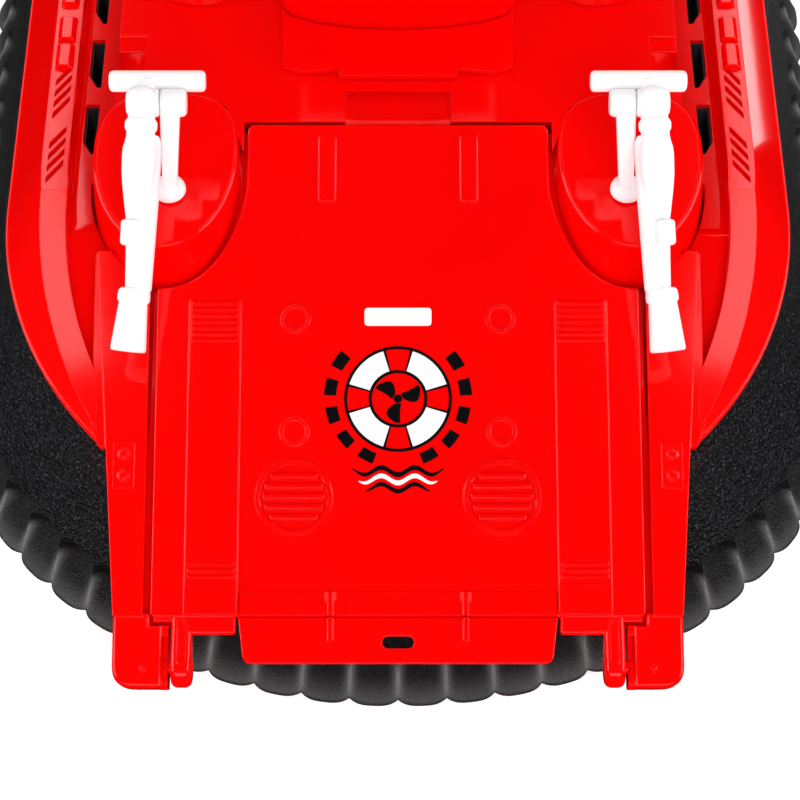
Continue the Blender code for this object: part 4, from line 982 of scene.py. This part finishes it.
@dataclass
class Pedestals:
    """Egg-shaped pedestals of the two monitors, with a fine rounded rim."""

    foot: float = 0.0576
    base: float = 0.0024
    top: float = 0.0755
    tilt: float = math.radians(3.0)
    x: float = 0.0597
    half: float = 0.0202
    bow_centre: float = -0.0795
    bow: float = 0.0300
    back: float = -0.0585
    monitor_y: float = -0.0917
    draft: float = 0.0016
    rim: float = 0.0011
    fullness: float = 2.7

    @property
    def slope_centre(self) -> float:
        """Place of the bow ellipse's middle down the slope."""
        return (SLOPE_TOP_Y - self.bow_centre) / math.cos(SLOPE)

    @property
    def slope_bow(self) -> float:
        """Reach of the bow ellipse down the slope."""
        return self.bow / math.cos(SLOPE)

    def outline(self, steps: int = 40) -> Array:
        """Egg outline: a bow half ellipse and a fuller stern curve with |x/a|^p + |y/b|^p = 1.

        Args:
            steps: stretches of each half.

        Returns:
            The outline's X and Y.
        """
        bow = np.pi * np.arange(steps + 1) / steps
        stern = np.pi * (1 - np.arange(1, steps) / steps)
        front = np.stack([self.x + self.half * np.cos(bow), self.bow_centre - self.bow * np.sin(bow)], 1)
        across = np.sign(np.cos(stern)) * np.abs(np.cos(stern)) ** (2 / self.fullness)
        along = self.bow_centre + (self.back - self.bow_centre) * np.sin(stern) ** (2 / self.fullness)
        return np.vstack([front, np.stack([self.x + self.half * across, along], 1)])

    def surface(self) -> Array:
        """Skin of a pedestal: up a drafted wall and round the rim of a top that tilts down ahead.

        Returns:
            Rings of points, from the foot up.
        """
        wall = [(0.0, self.foot), (0.0, self.foot + self.base)]
        rings = stack(self.outline(), [*wall, *(quarter(self.rim, 5) + (self.draft, 0.0))])
        height = self.top - GAP + (rings[..., 1] - self.monitor_y) * math.tan(self.tilt)
        rings[len(wall):, :, 2] = (height - rings[..., 2])[len(wall):]
        return rings

    def build(self) -> None:
        """Build both pedestals."""
        for side in Side:
            form = Form(side)
            form.rings(self.surface())
            form.make(f"pedestal_top_{side.word}", "hull", Finishes.RED, [f"pedestal_{side.word}"])


PEDESTALS = Pedestals()


@dataclass
class Ramp:
    """Bow ramp: curved shoulders, raised tracks with grip lines, vents, bolt rings, feet and arms."""

    top_half: float = 0.0388
    foot_half: float = 0.0612
    thick: float = 0.0030
    clear: float = 0.0009
    shoulder: Pair = (0.0010, 0.0012)
    curve_gap: Pair = (0.0002, 0.0006)
    foot_corner: float = 0.0015
    link_top: Pair = (0.0020, 0.0006)
    link_round: float = 0.0016
    # From here on in millimetres.
    foot_step: Block = Block((-39.2, 39.2), (121.3, 127.2), (-1.0, 0.3), 0.3, 0.2, 0.0, 2)
    track: Block = Block((39.7, 53.0), (46.8, 127.1), (-1.0, 0.7), 0.8, 0.4)
    grip: Block = Block((40.5, 52.2), (0.0, 0.8), (0.0, 1.0), 0.3, 0.3, 0.0, 2, 2)
    grips: tuple[tuple[float, int], ...] = ((47.4, 7), (114.0, 3))
    grip_pitch: float = 1.6
    details: tuple[Block, ...] = (
        Block((39.7, 53.0), (119.2, 127.1), (0.0, 1.0), 0.8, 0.3),
        Block((16.0, 20.5), (3.0, 20.8), (-1.0, 0.5), 0.8, 0.3),
        Block((40.0, 53.4), (126.5, 131.8), (-2.6, -0.2), 1.0, 0.9, 1.0),
        Block((52.0, 60.6), (126.5, 128.7), (-3.0, -1.0), 0.6, 0.6, 0.4),
        Block((16.0, 17.4), (121.4, 127.4), (-1.0, 2.2), 0.3, 0.3, 0.0, 2),
        Block((15.4, 18.0), (121.3, 123.8), (-1.0, 1.6), 0.4, 0.4, 0.0, 2),
    )
    vent: Pair = (26.0, 97.5)
    vent_rim: Profile = ((9.8, -0.5), (9.8, 0.4), (9.4, 0.8), (8.7, 0.8), (8.3, 0.4), (8.3, -0.5))
    vent_inner: float = 8.3
    slat: Block = Block((0.0, 0.0), (-0.8, 0.8), (-0.5, 0.9), 0.6, 0.6)
    slat_pitch: float = 2.6
    slat_gap: float = 0.4
    bolts: Pair = (51.8, 81.0)
    bolt_ring: Profile = ((3.8, -0.2), (3.8, 0.3), (3.5, 0.5), (3.1, 0.5), (2.8, 0.3), (2.8, -0.2))
    arm: Pair = (50.8, 56.0)
    eye: float = 5.0
    bore: float = 2.1
    eye_round: float = 1.7
    link: Profile = ((2.2, -4.2), (3.0, 0.6), (1.6, 2.8), (-1.0, 4.8))

    def outline(self) -> Array:
        """Work out the plan on the slope, with a quarter ellipse round each pedestal.

        Returns:
            The outline, down the +X side and up the other.
        """
        centre, reach_x = PEDESTALS.slope_centre, PEDESTALS.half + self.clear
        reach_s = PEDESTALS.slope_bow + self.thick * math.tan(SLOPE) + self.clear
        angle = np.pi / 2 * np.arange(1, 29) / 28
        curve = np.stack([PEDESTALS.x - reach_x * np.cos(angle), centre + reach_s * np.sin(angle)], 1)
        foot = [(0.0, RAMP_LENGTH), (self.foot_half, 0.1), (self.foot_half, RAMP_LENGTH)]
        half = np.vstack([
            [(self.top_half - self.shoulder[0], 0.0), (self.top_half, self.shoulder[1])],
            curve[curve[:, 0] > self.top_half + self.curve_gap[0]],
            [(self.foot_half, centre + reach_s + self.curve_gap[1])],
            rounded(foot, (0.0, 0.0, self.foot_corner))[2:],
        ])
        return np.vstack([half, half[::-1] * (-1.0, 1.0)])

    def blocks(self) -> list[Block]:
        """List the raised blocks of a side.

        Returns:
            The track with its grip lines, the pad, tab, foot bars and gussets.
        """
        starts = [start + self.grip_pitch * line for start, lines in self.grips for line in range(lines)]
        grips = [self.grip._replace(along=(start, start + self.grip.along[1])) for start in starts]
        return [self.track, *grips, *self.details]

    def vents(self, form: Form) -> None:
        """Add a side's vent rim and slats, and its bolt rings.

        Args:
            form: the form that takes them in.
        """
        x, along = self.vent
        form.lathe(self.vent_rim, upright(x * MM, along * MM), 56, True)
        for offset in self.slat_pitch * np.arange(-2, 3):
            reach = math.sqrt(self.vent_inner ** 2 - offset ** 2) - self.slat_gap
            start, end = (along + offset + edge for edge in self.slat.along)
            form.block(self.slat._replace(across=(x - reach, x + reach), along=(start, end)))
        for bolt in self.bolts:
            form.lathe(self.bolt_ring, upright(x * MM, bolt * MM), 36, True)

    def arms(self, form: Form) -> None:
        """Add a side's hinge arm: a rounded eye with its bore, and the link up to the plate.

        Args:
            form: the form that takes it in.
        """
        low, high = self.arm
        half = (high - low) / 2
        outer = (self.eye, half) - quarter(self.eye_round, 4)
        profile = np.vstack([outer, [(self.bore, half), (self.bore, -half)], outer[::-1] * (1, -1)])
        form.lathe(profile, axle((low + high) / 2 * MM, *HINGE), 40, True)
        along, lift = RAMP_LENGTH - self.link_top[0], -self.link_top[1]
        top = on_slope(np.array([(0.0, along, lift), (0.0, along, -self.thick)]))[:, 1:]
        link = rounded(np.vstack([top, np.array(HINGE) + np.array(self.link) * MM]), 0.0008, 3)
        form.slab(link, low * MM, high * MM, self.link_round, self.link_round, 5, across_craft)

    def build(self) -> None:
        """Build the ramp."""
        form = Form()
        form.slab(self.outline(), -self.thick, 0.0, 0.5 * MM, 0.3 * MM)
        form.block(self.foot_step)
        for side in Side:
            form.side = side
            for block in self.blocks():
                form.block(block)
            self.vents(form)
            self.arms(form)
        form.make("ramp_panel", "ramp", Finishes.RED, ["ramp"])


RAMP = Ramp()


@dataclass
class Cheeks:
    """Bow cheeks beside the ramp: a tapering plate with a bolted tab, and a hinge ear."""

    start: float = 0.0336
    half: float = 0.0768
    inner: float = 0.0630
    thick: float = 0.0050
    sunk: float = 0.0003
    shelf: Profile = (
        (0.0690, 0.0345), (0.0772, 0.0345), (0.0772, 0.0790), (0.0752, 0.0848), (0.0690, 0.0848)
    )
    shelf_foot: float = 0.0046
    tab: Block = Block((66.0, 71.2), (83.8, 95.3), (-1.0, 0.8), 0.2, 0.12, 0.0, 2, 2)
    bolt: Profile = (
        (0.0, -0.5), (1.55, -0.5), (1.55, 0.9), (1.35, 1.0), (1.25, 1.5), (0.95, 1.7), (0.0, 1.75)
    )
    bolt_x: float = 0.0686
    bolts: Pair = (0.0868, 0.0922)
    ear: Profile = (
        (0.0580, 0.1294), (0.0612, 0.1294), (0.0612, 0.1262), (0.0705, 0.1262), (0.0705, 0.1449),
        (0.0580, 0.1449),
    )
    ear_corners: Row = (0.0003, 0.0002, 0.0002, 0.0003, 0.0056, 0.0010)
    ear_foot: float = 0.0092
    flange: tuple[Block, ...] = (
        Block((56.3, 64.0), (126.2, 129.7), (-6.6, -3.3), 0.3, 0.4, 0.0, 2),
        Block((56.6, 59.2), (129.4, 144.9), (-9.0, -2.6), 0.4, 0.5, 2.0, 3),
        Block((56.6, 59.2), (129.4, 132.0), (-4.0, -0.9), 0.3, 0.4, 0.0, 3),
        Block((56.6, 59.2), (139.9, 144.7), (-8.8, -1.2), 1.0, 0.8, 2.0, 3),
    )
    dimple: Profile = (
        (0.0, -0.24), (0.80, -0.24), (0.776, 0.08), (0.64, 0.336), (0.36, 0.496), (0.0, 0.56)
    )
    dimple_at: Pair = (0.0627, 0.1402)
    pin: Profile = ((0.0, 51.1), (1.8, 51.1), (1.8, 60.0), (0.0, 60.0))
    bed_section: tuple[Pair, Pair] = ((-0.0026, 0.0022), (-0.0009, 0.0009))
    bed_end: float = 0.1268
    bed_lift: float = -0.0043
    bed_steps: int = 90

    def outline(self) -> Array:
        """Work out the plate's plan on the slope, which starts along the pedestal's foot, an ellipse there.

        Returns:
            The outline.
        """
        centre, reach_x, reach_s = PEDESTALS.slope_centre, PEDESTALS.half + GAP, PEDESTALS.slope_bow + GAP
        first = math.acos((self.inner - PEDESTALS.x) / reach_x)
        last = math.asin((self.start - centre) / reach_s)
        angle = np.linspace(first, last, 16)
        curve = np.stack([PEDESTALS.x + reach_x * np.cos(angle), centre + reach_s * np.sin(angle)], 1)
        corners = [(self.half, self.start), (self.ear[3][0], RAMP_LENGTH), (self.inner, RAMP_LENGTH)]
        return np.vstack([rounded(corners, (0.0003, 0.0010, 0.0003), 3), curve])

    def plate(self, form: Form) -> None:
        """Add a side's plate with its shelf, tab and bolts.

        Args:
            form: the form that takes them in.
        """
        form.slab(self.outline(), -self.thick, 0.0, 0.3 * MM, 0.3 * MM)
        form.slab(rounded(self.shelf, 0.0003, 2), -self.shelf_foot, -self.sunk, 0.2 * MM)
        form.block(self.tab)
        for along in self.bolts:
            form.lathe(self.bolt, upright(self.bolt_x, along), 28)

    def hinge(self, form: Form) -> None:
        """Add a side's ear, a block with a well rounded lower outer corner, and its flange, dimple and pin.

        Args:
            form: the form that takes them in.
        """
        form.slab(rounded(self.ear, self.ear_corners, 8), -self.ear_foot, -self.sunk, 1.4 * MM, 3.0 * MM, 5)
        for block in self.flange:
            form.block(block)
        form.lathe(self.dimple, upright(*self.dimple_at, -self.sunk), 24)
        form.lathe(self.pin, axle(0.0, *HINGE), 24)

    def bed(self, side: Side) -> None:
        """Lay a narrow red ledge under the ramp's edge, which shows in the joint round it.

        Args:
            side: side of the craft.
        """
        edge = RAMP.outline()
        edge = np.vstack([edge[edge[:, 0] > 0][1:-7], [(RAMP.foot_half, self.bed_end)]])
        path = at_lengths(edge, np.linspace(0.0, travelled(edge)[-1], self.bed_steps))
        path = on_slope(np.column_stack([path, np.full(self.bed_steps, self.bed_lift)]))
        form = Form(side)
        form.sweep(path, oblong(*self.bed_section, 0.0003, 2), SLOPE_NORMAL)
        form.make(f"ramp_bed_{side.word}", "hull", Finishes.RED)

    def build(self) -> None:
        """Build both cheeks and the ledges."""
        for side in Side:
            form = Form(side)
            self.plate(form)
            self.hinge(form)
            form.make(f"cheek_plate_{side.word}", "hull", Finishes.RED, [f"cheek_{side.word}"], 30.0)
        for side in Side:
            self.bed(side)


@dataclass
class Tongue:
    """Tongue at the ramp's foot: a plate with soft corners, a stadium slot and two gussets."""

    half: float = 0.0395
    draft: float = 0.0014
    end: float = 0.1390
    thick: float = 0.0018
    edge: float = 0.0004
    slot_along: float = 0.1337
    slot_flat: float = 0.0024
    slot_radius: float = 0.0015
    gusset: Block = Block((16.0, 17.4), (127.7, 133.5), (-1.0, 2.2), 0.3, 0.3, 0.0, 2)

    def rim(self) -> Array:
        """Work out the outer outline, with points at even distances besides its own.

        Returns:
            The outline.
        """
        start, narrow = RAMP_LENGTH + 0.0001, self.half - self.draft
        corners = [(-self.half, start), (self.half, start), (narrow, self.end), (-narrow, self.end)]
        line = rounded(corners, (0.0002, 0.0002, 0.0022, 0.0022), 6)
        line = np.vstack([line, line[:1]])
        length = travelled(line)
        return at_lengths(line, np.union1d(np.linspace(0.0, length[-1], 181)[:-1], length[:-1]))

    def slot(self, rim: Array, way: float) -> Array:
        """Slot outline, a point for each of the rim's, in the same direction from the slot's middle.

        For a direction (c, s) it lies r/|s| out where it meets a flat side, and else
        f|c| + sqrt(r^2 - f^2 s^2).

        Args:
            rim: the outer outline.
            way: how much wider than the slot.

        Returns:
            The slot's outline.
        """
        middle = np.array([0.0, self.slot_along])
        ray = unit(rim - middle)
        across, along = np.abs(ray).T
        radius, flat = self.slot_radius + way, self.slot_flat
        side = radius / np.maximum(along, 1e-6)
        end = flat * across + np.sqrt(np.maximum(radius ** 2 - (flat * along) ** 2, 0.0))
        return middle + ray * np.where(side * across <= flat, side, end)[:, None]

    def build(self) -> None:
        """Build the tongue."""
        rim, bend = self.rim(), quarter(self.edge, 3)
        loops = [(self.slot(rim, 0.0), self.thick)]
        loops += [(self.slot(rim, way), drop) for way, drop in bend]
        loops += [(inset(rim, way), drop) for way, drop in bend[::-1]]
        loops += [(rim, self.thick)]
        rings = [np.column_stack([loop, np.full(len(rim), -drop)]) for loop, drop in loops]
        form = Form()
        form.grid(on_slope(np.array(rings)), True)
        for side in Side:
            form.side = side
            form.block(self.gusset)
        form.make("tongue", frame["nodes"]["ramp_lip"]["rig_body"], Finishes.RED, ["ramp_lip"], 30.0)


@dataclass
class Badge:
    """Plain printed badge and number bar on the ramp: a life ring, a fan and waves."""

    centre: float = 0.0725
    ring_outer: float = 0.0128
    ring_inner: float = 0.0074
    line: float = 0.0008
    lift: float = 0.00002
    ink: float = 0.00008
    hub: float = 0.0011
    quarter_angle: float = 28.0
    band_angle: float = 3.0
    dashes: int = 5
    dash_angle: float = 7.0
    dash_first: float = -62.0
    dash_pitch: float = 24.0
    dash_inner: Pair = (0.0150, 0.0002)
    dash_outer: Pair = (0.0178, 0.0003)
    blades: int = 3
    blade_start: float = 0.0012
    blade_length: float = 0.0050
    blade_half: float = 0.0017
    blade_bend: float = 0.0012
    waves: tuple[Triple, ...] = (
        (0.0185, 0.0115, 0.00065), (0.0206, 0.0098, 0.00060), (0.0227, 0.0080, 0.00060)
    )
    wave_height: float = 0.0009
    wave_length: float = 0.0084
    bar: tuple[Pair, Pair] = ((-0.0085, 0.0085), (0.0489, 0.0536))

    def ink_in(self, form: Form, outline: Array) -> None:
        """Print an area given by its outline on the slope."""
        form.slab(outline, self.lift, self.lift + self.ink, 0.0)

    def arc(self, form: Form, inner: float, outer: float, start: float, end: float) -> None:
        """Print a band round the badge's middle.

        Args:
            form: ink that takes it in.
            inner: inner radius.
            outer: outer radius.
            start: first angle in degrees, 0 across to the left of the craft and 90 up the ramp.
            end: last angle.
        """
        angle = np.radians(np.linspace(start, end, max(6, int(abs(end - start) / 4))))
        ray = np.stack([np.cos(angle), -np.sin(angle)], 1)
        self.ink_in(form, np.vstack([ray * outer, ray[::-1] * inner]) + (0.0, self.centre))

    def ribbon(self, form: Form, x: Array, middle: Array, half: Array, turn: float = 0.0) -> None:
        """Print a line of varying width, turned about the badge's middle.

        Args:
            form: ink that takes it in.
            x: places along the line.
            middle: the line's middle at each.
            half: its half-width at each.
            turn: angle that it is turned by, in radians.
        """
        outline = np.vstack([np.stack([x, middle + half], 1), np.stack([x, middle - half], 1)[::-1]])
        basis = np.array([[math.cos(turn), math.sin(turn)], [-math.sin(turn), math.cos(turn)]])
        self.ink_in(form, outline @ basis + (0.0, self.centre))

    def blade(self, form: Form, turn: float) -> None:
        """Print one fan blade: half h sin(pi (0.12 + 0.8 k))^0.8 wide and bent b sin(pi k) aside.

        Args:
            form: ink that takes it in.
            turn: the blade's angle, in radians.
        """
        k = np.linspace(0.0, 1.0, 16)
        half = self.blade_half * np.sin(np.pi * (0.12 + 0.80 * k)) ** 0.8
        bend = self.blade_bend * np.sin(np.pi * k)
        self.ribbon(form, self.blade_start + self.blade_length * k, bend, half, turn)

    def wave(self, form: Form, along: float, reach: float, half: float) -> None:
        """Print a wavy line, along + 0.9 cos(2 pi x / 8.4 mm) mm, tapering to its ends.

        Args:
            form: ink that takes it in.
            along: how far below the badge's middle it lies.
            reach: half its length.
            half: half its width.
        """
        x = np.linspace(-reach, reach, 49)
        middle = along + self.wave_height * np.cos(2 * np.pi * x / self.wave_length)
        self.ribbon(form, x, middle, half * (1 - (x / reach) ** 4 * 0.8))

    def build(self) -> None:
        """Print the badge in black and white."""
        black, white = Form(), Form()
        inner, outer, share, band = self.ring_inner, self.ring_outer, self.quarter_angle, self.band_angle
        self.arc(black, outer, outer + self.line, 0, 359.9)
        self.arc(black, inner - self.line, inner, 0, 359.9)
        for middle in (45, 135, 225, 315):
            self.arc(white, inner, outer, middle - share, middle + share)
            self.arc(black, inner, outer, middle - share - band, middle - share)
            self.arc(black, inner, outer, middle + share, middle + share + band)
        for number in range(self.blades):
            self.blade(black, 2 * math.pi * number / self.blades + math.pi / 2)
        angle = np.linspace(0.0, 2 * np.pi, 20, endpoint=False)
        hub = np.stack([np.cos(angle), np.sin(angle)], 1) * self.hub + (0.0, self.centre)
        self.ink_in(black, hub)
        for start, way in ((0, 1), (180, -1)):
            for number in range(self.dashes):
                middle = start + way * (self.dash_first + self.dash_pitch * number)
                low, high = (first + more * number for first, more in (self.dash_inner, self.dash_outer))
                self.arc(black, low, high, middle - self.dash_angle, middle + self.dash_angle)
        for ink, measures in zip((black, white, black), self.waves):
            self.wave(ink, *measures)
        self.ink_in(white, oblong(*self.bar, 0.0010))
        black.make("badge_black", "ramp", Finishes.INK_BLACK)
        white.make("badge_white", "ramp", Finishes.INK_WHITE)


@dataclass
class Monitor:
    """Water monitor: a dome and riser that swivel, and a drooping barrel with its T handle."""

    x: float = 0.0579
    y: float = -0.0917
    foot: float = 0.0755
    pivot: Triple = (0.0623, -0.0820, 0.0985)
    droop: float = math.radians(30.0)
    splay: float = math.radians(3.0)
    nozzle_turn: float = math.radians(4.0)
    nozzle_at: Triple = (0.5, 0.0, 46.4)
    tube_at: Triple = (-0.4, 0.0, 0.0)
    head_at: Triple = (0.6, 2.2, 0.0)
    head_end_at: Triple = (1.5, 4.6, 0.0)
    stalk_at: Triple = (0.0, -1.8, -5.5)
    grip_at: Triple = (0.0, -2.1, -5.8)
    tube: Profile = (
        (0.0, 8.0), (3.2, 8.2), (3.8, 9.5), (4.0, 14.0), (3.95, 24.0), (3.25, 46.0), (3.0, 46.8),
        (0.0, 46.8),
    )
    nozzle: Profile = (
        (0.0, -0.4), (3.4, -0.3), (3.9, 0.3), (4.05, 1.5), (4.0, 2.6), (3.7, 3.0), (3.5, 3.3), (3.6, 4.1),
        (4.4, 14.3), (4.35, 14.9), (4.05, 15.2), (3.4, 15.1), (3.1, 14.1), (2.9, 10.7), (0.0, 10.7),
    )
    head: Profile = (
        (0.0, -3.9), (1.3, -3.7), (2.4, -3.0), (3.1, -1.9), (3.4, -0.4), (3.45, 2.0), (3.3, 4.2),
        (3.7, 4.7), (4.0, 5.3), (4.0, 6.2), (3.9, 7.0), (3.5, 7.5), (3.5, 8.6), (3.8, 10.2), (4.2, 11.6),
        (4.3, 13.4), (4.2, 17.6), (3.9, 20.6), (3.3, 24.6), (2.6, 29.0), (2.2, 31.5), (0.0, 32.0),
    )
    head_end: Profile = (
        (0.0, 29.6), (1.8, 29.6), (2.3, 29.9), (2.45, 30.4), (2.45, 34.9), (2.3, 35.5), (1.8, 35.8),
        (0.0, 35.8),
    )
    grip: Profile = (
        (0.0, -14.2), (1.9, -14.2), (2.4, -13.9), (2.65, -13.3), (2.65, 8.7), (2.4, 9.3), (1.9, 9.6),
        (0.0, 9.6),
    )
    stalk: Profile = ((0.0, -1.0), (2.6, -0.6), (2.6, 6.0), (0.0, 6.5))
    lobe: Profile = (
        (0.0, -3.55), (2.8, -3.55), (3.4, -3.0), (3.6, -2.2), (3.6, 3.0), (3.3, 4.0), (2.6, 4.7), (0.0, 4.9)
    )
    dome: Profile = (
        (0.0, 0.3), (3.9, 0.3), (4.15, 0.5), (4.15, 1.1), (3.9, 2.0), (3.2, 2.9), (2.1, 3.5), (0.0, 3.8)
    )
    stem_x: Pair = (-0.0003, -0.0016)
    stem_foot: float = 0.0020
    stem_bend: float = -0.0012
    stem_width: Pair = (0.0036, 0.0014)
    stem_depth: float = 1.05
    collar_x: float = -0.0007
    collar: Profile = (
        (0.0, -4.9), (2.7, -4.9), (3.2, -4.5), (3.48, -3.7), (3.48, 0.6), (3.4, 1.1), (3.1, 1.4), (0.0, 1.4)
    )

    def heading(self, turn: float, origin: Sequence[float]) -> Place:
        """Place of shapes along a line that droops and is turned out by an angle.

        Args:
            turn: the angle that it is turned out by.
            origin: where it starts.

        Returns:
            A function that places points across, above and along it.
        """
        level = math.cos(self.droop)
        forward = (math.sin(turn) * level, -math.cos(turn) * level, -math.sin(self.droop))
        return turned_to(origin, forward, (math.cos(turn), math.sin(turn), 0.0))

    def on_barrel(self, offset: Triple) -> Array:
        """Point across, above and along the barrel from its pivot, given in millimetres."""
        return self.heading(self.splay, self.pivot)(np.array(offset) * MM)

    def barrel(self, side: Side) -> None:
        """Build the barrel with its nozzle, head, T handle and its stalk, and the outer trunnion lobe.

        Args:
            side: side of the craft.
        """
        form = Form(side)
        shapes = (
            (self.tube, self.tube_at, 0.0, 40), (self.nozzle, self.nozzle_at, self.nozzle_turn, 40),
            (self.head, self.head_at, 0.0, 40), (self.head_end, self.head_end_at, 0.0, 32),
            (self.stalk, self.stalk_at, 0.0, 24),
        )
        for profile, offset, turn, sides in shapes:
            form.lathe(profile, self.heading(self.splay + turn, self.on_barrel(offset)), sides)
        form.lathe(self.grip, axle(*self.on_barrel(self.grip_at)), 32)
        form.lathe(self.lobe, axle(*self.pivot), 32)
        name = f"barrel_{side.word}"
        form.make(name, name, Finishes.WHITE, [f"monitor_{name}"])

    def riser(self, side: Side) -> None:
        """Build the dome on the pedestal, the riser and the inner trunnion collar.

        Args:
            side: side of the craft.
        """
        form = Form(side)
        _, y, z = self.pivot
        form.lathe(self.dome, lambda points: points + (self.x, self.y, self.foot))
        k = np.linspace(0.0, 1.0, 9)[:, None]
        start = np.array([self.x + self.stem_x[0], self.y, self.foot + self.stem_foot])
        end = np.array([self.x + self.stem_x[1], y, z])
        path = start + (end - start) * k + np.array([0.0, self.stem_bend, 0.0]) * np.sin(np.pi * k)
        size = (self.stem_width[0] + self.stem_width[1] * k)[..., None] * np.array([1.0, self.stem_depth])
        form.sweep(path, oblong((-0.5, 0.5), (-0.5, 0.5), 0.2) * size, (0, 1, 0))
        form.lathe(self.collar, axle(self.x + self.collar_x, y, z), 32)
        turret = f"turret_{side.word}"
        form.make(f"riser_{side.word}", turret, Finishes.WHITE, [f"monitor_{turret}"])

    def build(self) -> None:
        """Build both monitors."""
        for side in Side:
            self.riser(side)
            self.barrel(side)


@dataclass
class Superstructure:
    """Deckhouse, bridge, mast and lamps, shown by copies of their nodes."""

    red_nodes: tuple[str, ...] = (
        "front_panel", "deckhouse", "bridge", "intake_front_left", "intake_front_right", "intake_rear_left",
        "intake_rear_right",
    )
    white_nodes: tuple[str, ...] = ("bridge_roof", "mast", "radar", "searchlight_left", "searchlight_right")

    def build(self) -> None:
        """Show the nodes of the superstructure."""
        for node in self.red_nodes:
            moulded_copy(node, Finishes.RED)
        for node in self.white_nodes:
            moulded_copy(node, Finishes.WHITE)
        moulded_copy("bridge_glazing", Finishes.GLAZING)


@dataclass
class Propulsion:
    """Three ducted propellers with their rudders, shown by copies of their nodes."""

    places: tuple[str, ...] = ("left", "middle", "right")

    def build(self) -> None:
        """Show the nodes of the three units."""
        for word in self.places:
            moulded_copy(f"duct_{word}", Finishes.RED)
            moulded_copy(f"rudders_{word}", Finishes.RED)
            moulded_copy(f"propeller_{word}", Finishes.WHITE)


@dataclass(frozen=True)
class Lamp:
    """Soft rectangular light: where it hangs, what it faces, its size and watts, and how it shows."""

    name: str
    place: Triple
    aim: Triple
    size: Pair
    power: float
    shiny: bool = True
    turn: float = 0.0
    glossy_only: bool = False

    def hang(self) -> None:
        """Hang the light."""
        data = bpy.data.lights.new(self.name, "AREA")
        data.shape = "RECTANGLE"
        data.size, data.size_y = self.size
        data.energy = self.power
        lamp = bpy.data.objects.new(self.name, data)
        lamp.location = self.place
        lamp.rotation_euler = (Vector(self.aim) - Vector(self.place)).to_track_quat("-Z", "Y").to_euler()
        lamp.rotation_euler.z -= self.turn
        lamp.visible_glossy = self.shiny
        lamp.visible_diffuse = lamp.visible_camera = not self.glossy_only
        bpy.context.scene.collection.objects.link(lamp)


@dataclass
class Studio:
    """White seamless floor, large soft lights, and the photograph's camera."""

    elevation: float = math.radians(58.0)
    distance: float = 0.6113
    aim_y: float = -0.1070
    lens: float = 98.5
    shift: float = 0.0025
    floor: float = 14.0
    sky: float = 0.46
    paper: Pair = (0.99, 0.98)
    glow: float = 0.30
    middle: Triple = (0.0, -0.05, 0.05)

    def sweep_floor(self) -> None:
        """Lay the white floor, a grid that is plain and pale."""
        k = np.linspace(-self.floor, self.floor, 9)
        form = Form()
        form.grid(np.stack(np.meshgrid(k, k, indexing="ij") + [np.zeros((9, 9))], -1), False, False)
        mesh = form.mesh("studio_floor")
        shader = Shader("white_paper")
        colour = shader.blend(shader.noise(3.0, 2.0), *((tone, tone, tone) for tone in self.paper))
        glow = {"Emission_Color": (1.0, 1.0, 1.0), "Emission_Strength": self.glow}
        mesh.materials.append(shader.finish(Base_Color=colour, Roughness=0.9, **glow))
        floor = bpy.data.objects.new("studio_floor", mesh)
        floor.visible_glossy = False
        bpy.context.scene.collection.objects.link(floor)

    def lamps(self) -> list[Lamp]:
        """List all lights: even ones above and ahead, and long ones that show in the gloss of the sides.

        Returns:
            The lights, in the order in which they are hung.
        """
        lamps = [Lamp("key", (0.25, -1.25, 1.35), self.middle, (0.9, 0.6), 11.0, False)]
        for side in Side:
            x, word = side.value, side.word
            strip, bow = (0.376 * x, 0.80), (0.309 * x, -0.20)
            lamps += [
                Lamp(f"strip_{word}", (*strip, 1.40), (*strip, 0.0), (0.072, 1.60), 1.25),
                Lamp(f"bow_strip_{word}", (*bow, 1.40), (*bow, 0.0), (0.066, 0.20), 0.14, turn=0.18 * x),
                Lamp(f"panel_{word}", (1.35 * x, -0.10, 0.50), self.middle, (1.4, 0.6), 9.5),
            ]
        return lamps + [
            Lamp("card", (0.167, 0.19, 0.001), (0.167, 0.19, 1.0), (0.030, 0.38), 0.055, glossy_only=True),
            Lamp("front", (0.0, -1.3, 0.50), self.middle, (1.6, 0.35), 3.5),
            Lamp("back", (0.0, 1.6, 0.60), self.middle, (1.8, 0.4), 2.5),
        ]

    def light(self) -> None:
        """Set the sky's even glow and hang the lights."""
        world = bpy.data.worlds.new("studio")
        world.use_nodes = True
        background = world.node_tree.nodes["Background"]
        background.inputs["Color"].default_value = (1.0, 1.0, 1.0, 1.0)
        background.inputs["Strength"].default_value = self.sky
        bpy.context.scene.world = world
        world.cycles_visibility.glossy = False
        for lamp in self.lamps():
            lamp.hang()

    def photograph(self) -> None:
        """Place the camera and keep the colours as they are."""
        data = bpy.data.cameras.new("camera")
        data.lens = self.lens
        data.shift_x = self.shift
        data.clip_start = 0.01
        camera = bpy.data.objects.new("camera", data)
        back = Vector((0.0, -math.cos(self.elevation), math.sin(self.elevation)))
        camera.location = Vector((0.0, self.aim_y, 0.0)) + back * self.distance
        camera.rotation_euler = (-back).to_track_quat("-Z", "Y").to_euler()
        bpy.context.scene.collection.objects.link(camera)
        bpy.context.scene.camera = camera
        bpy.context.scene.view_settings.view_transform = "Standard"

    def build(self) -> None:
        """Set up the studio."""
        self.sweep_floor()
        self.light()
        self.photograph()


def main() -> None:
    """Build the craft piece by piece, then the studio."""
    logging.basicConfig(level=logging.INFO, format="%(message)s")
    bow = (PEDESTALS, Cheeks(), RAMP, Tongue(), Badge(), Monitor())
    for part in (Skirt(), Hull(), *bow, Superstructure(), Propulsion(), Studio()):
        part.build()


if __name__ == "__main__":
    main()
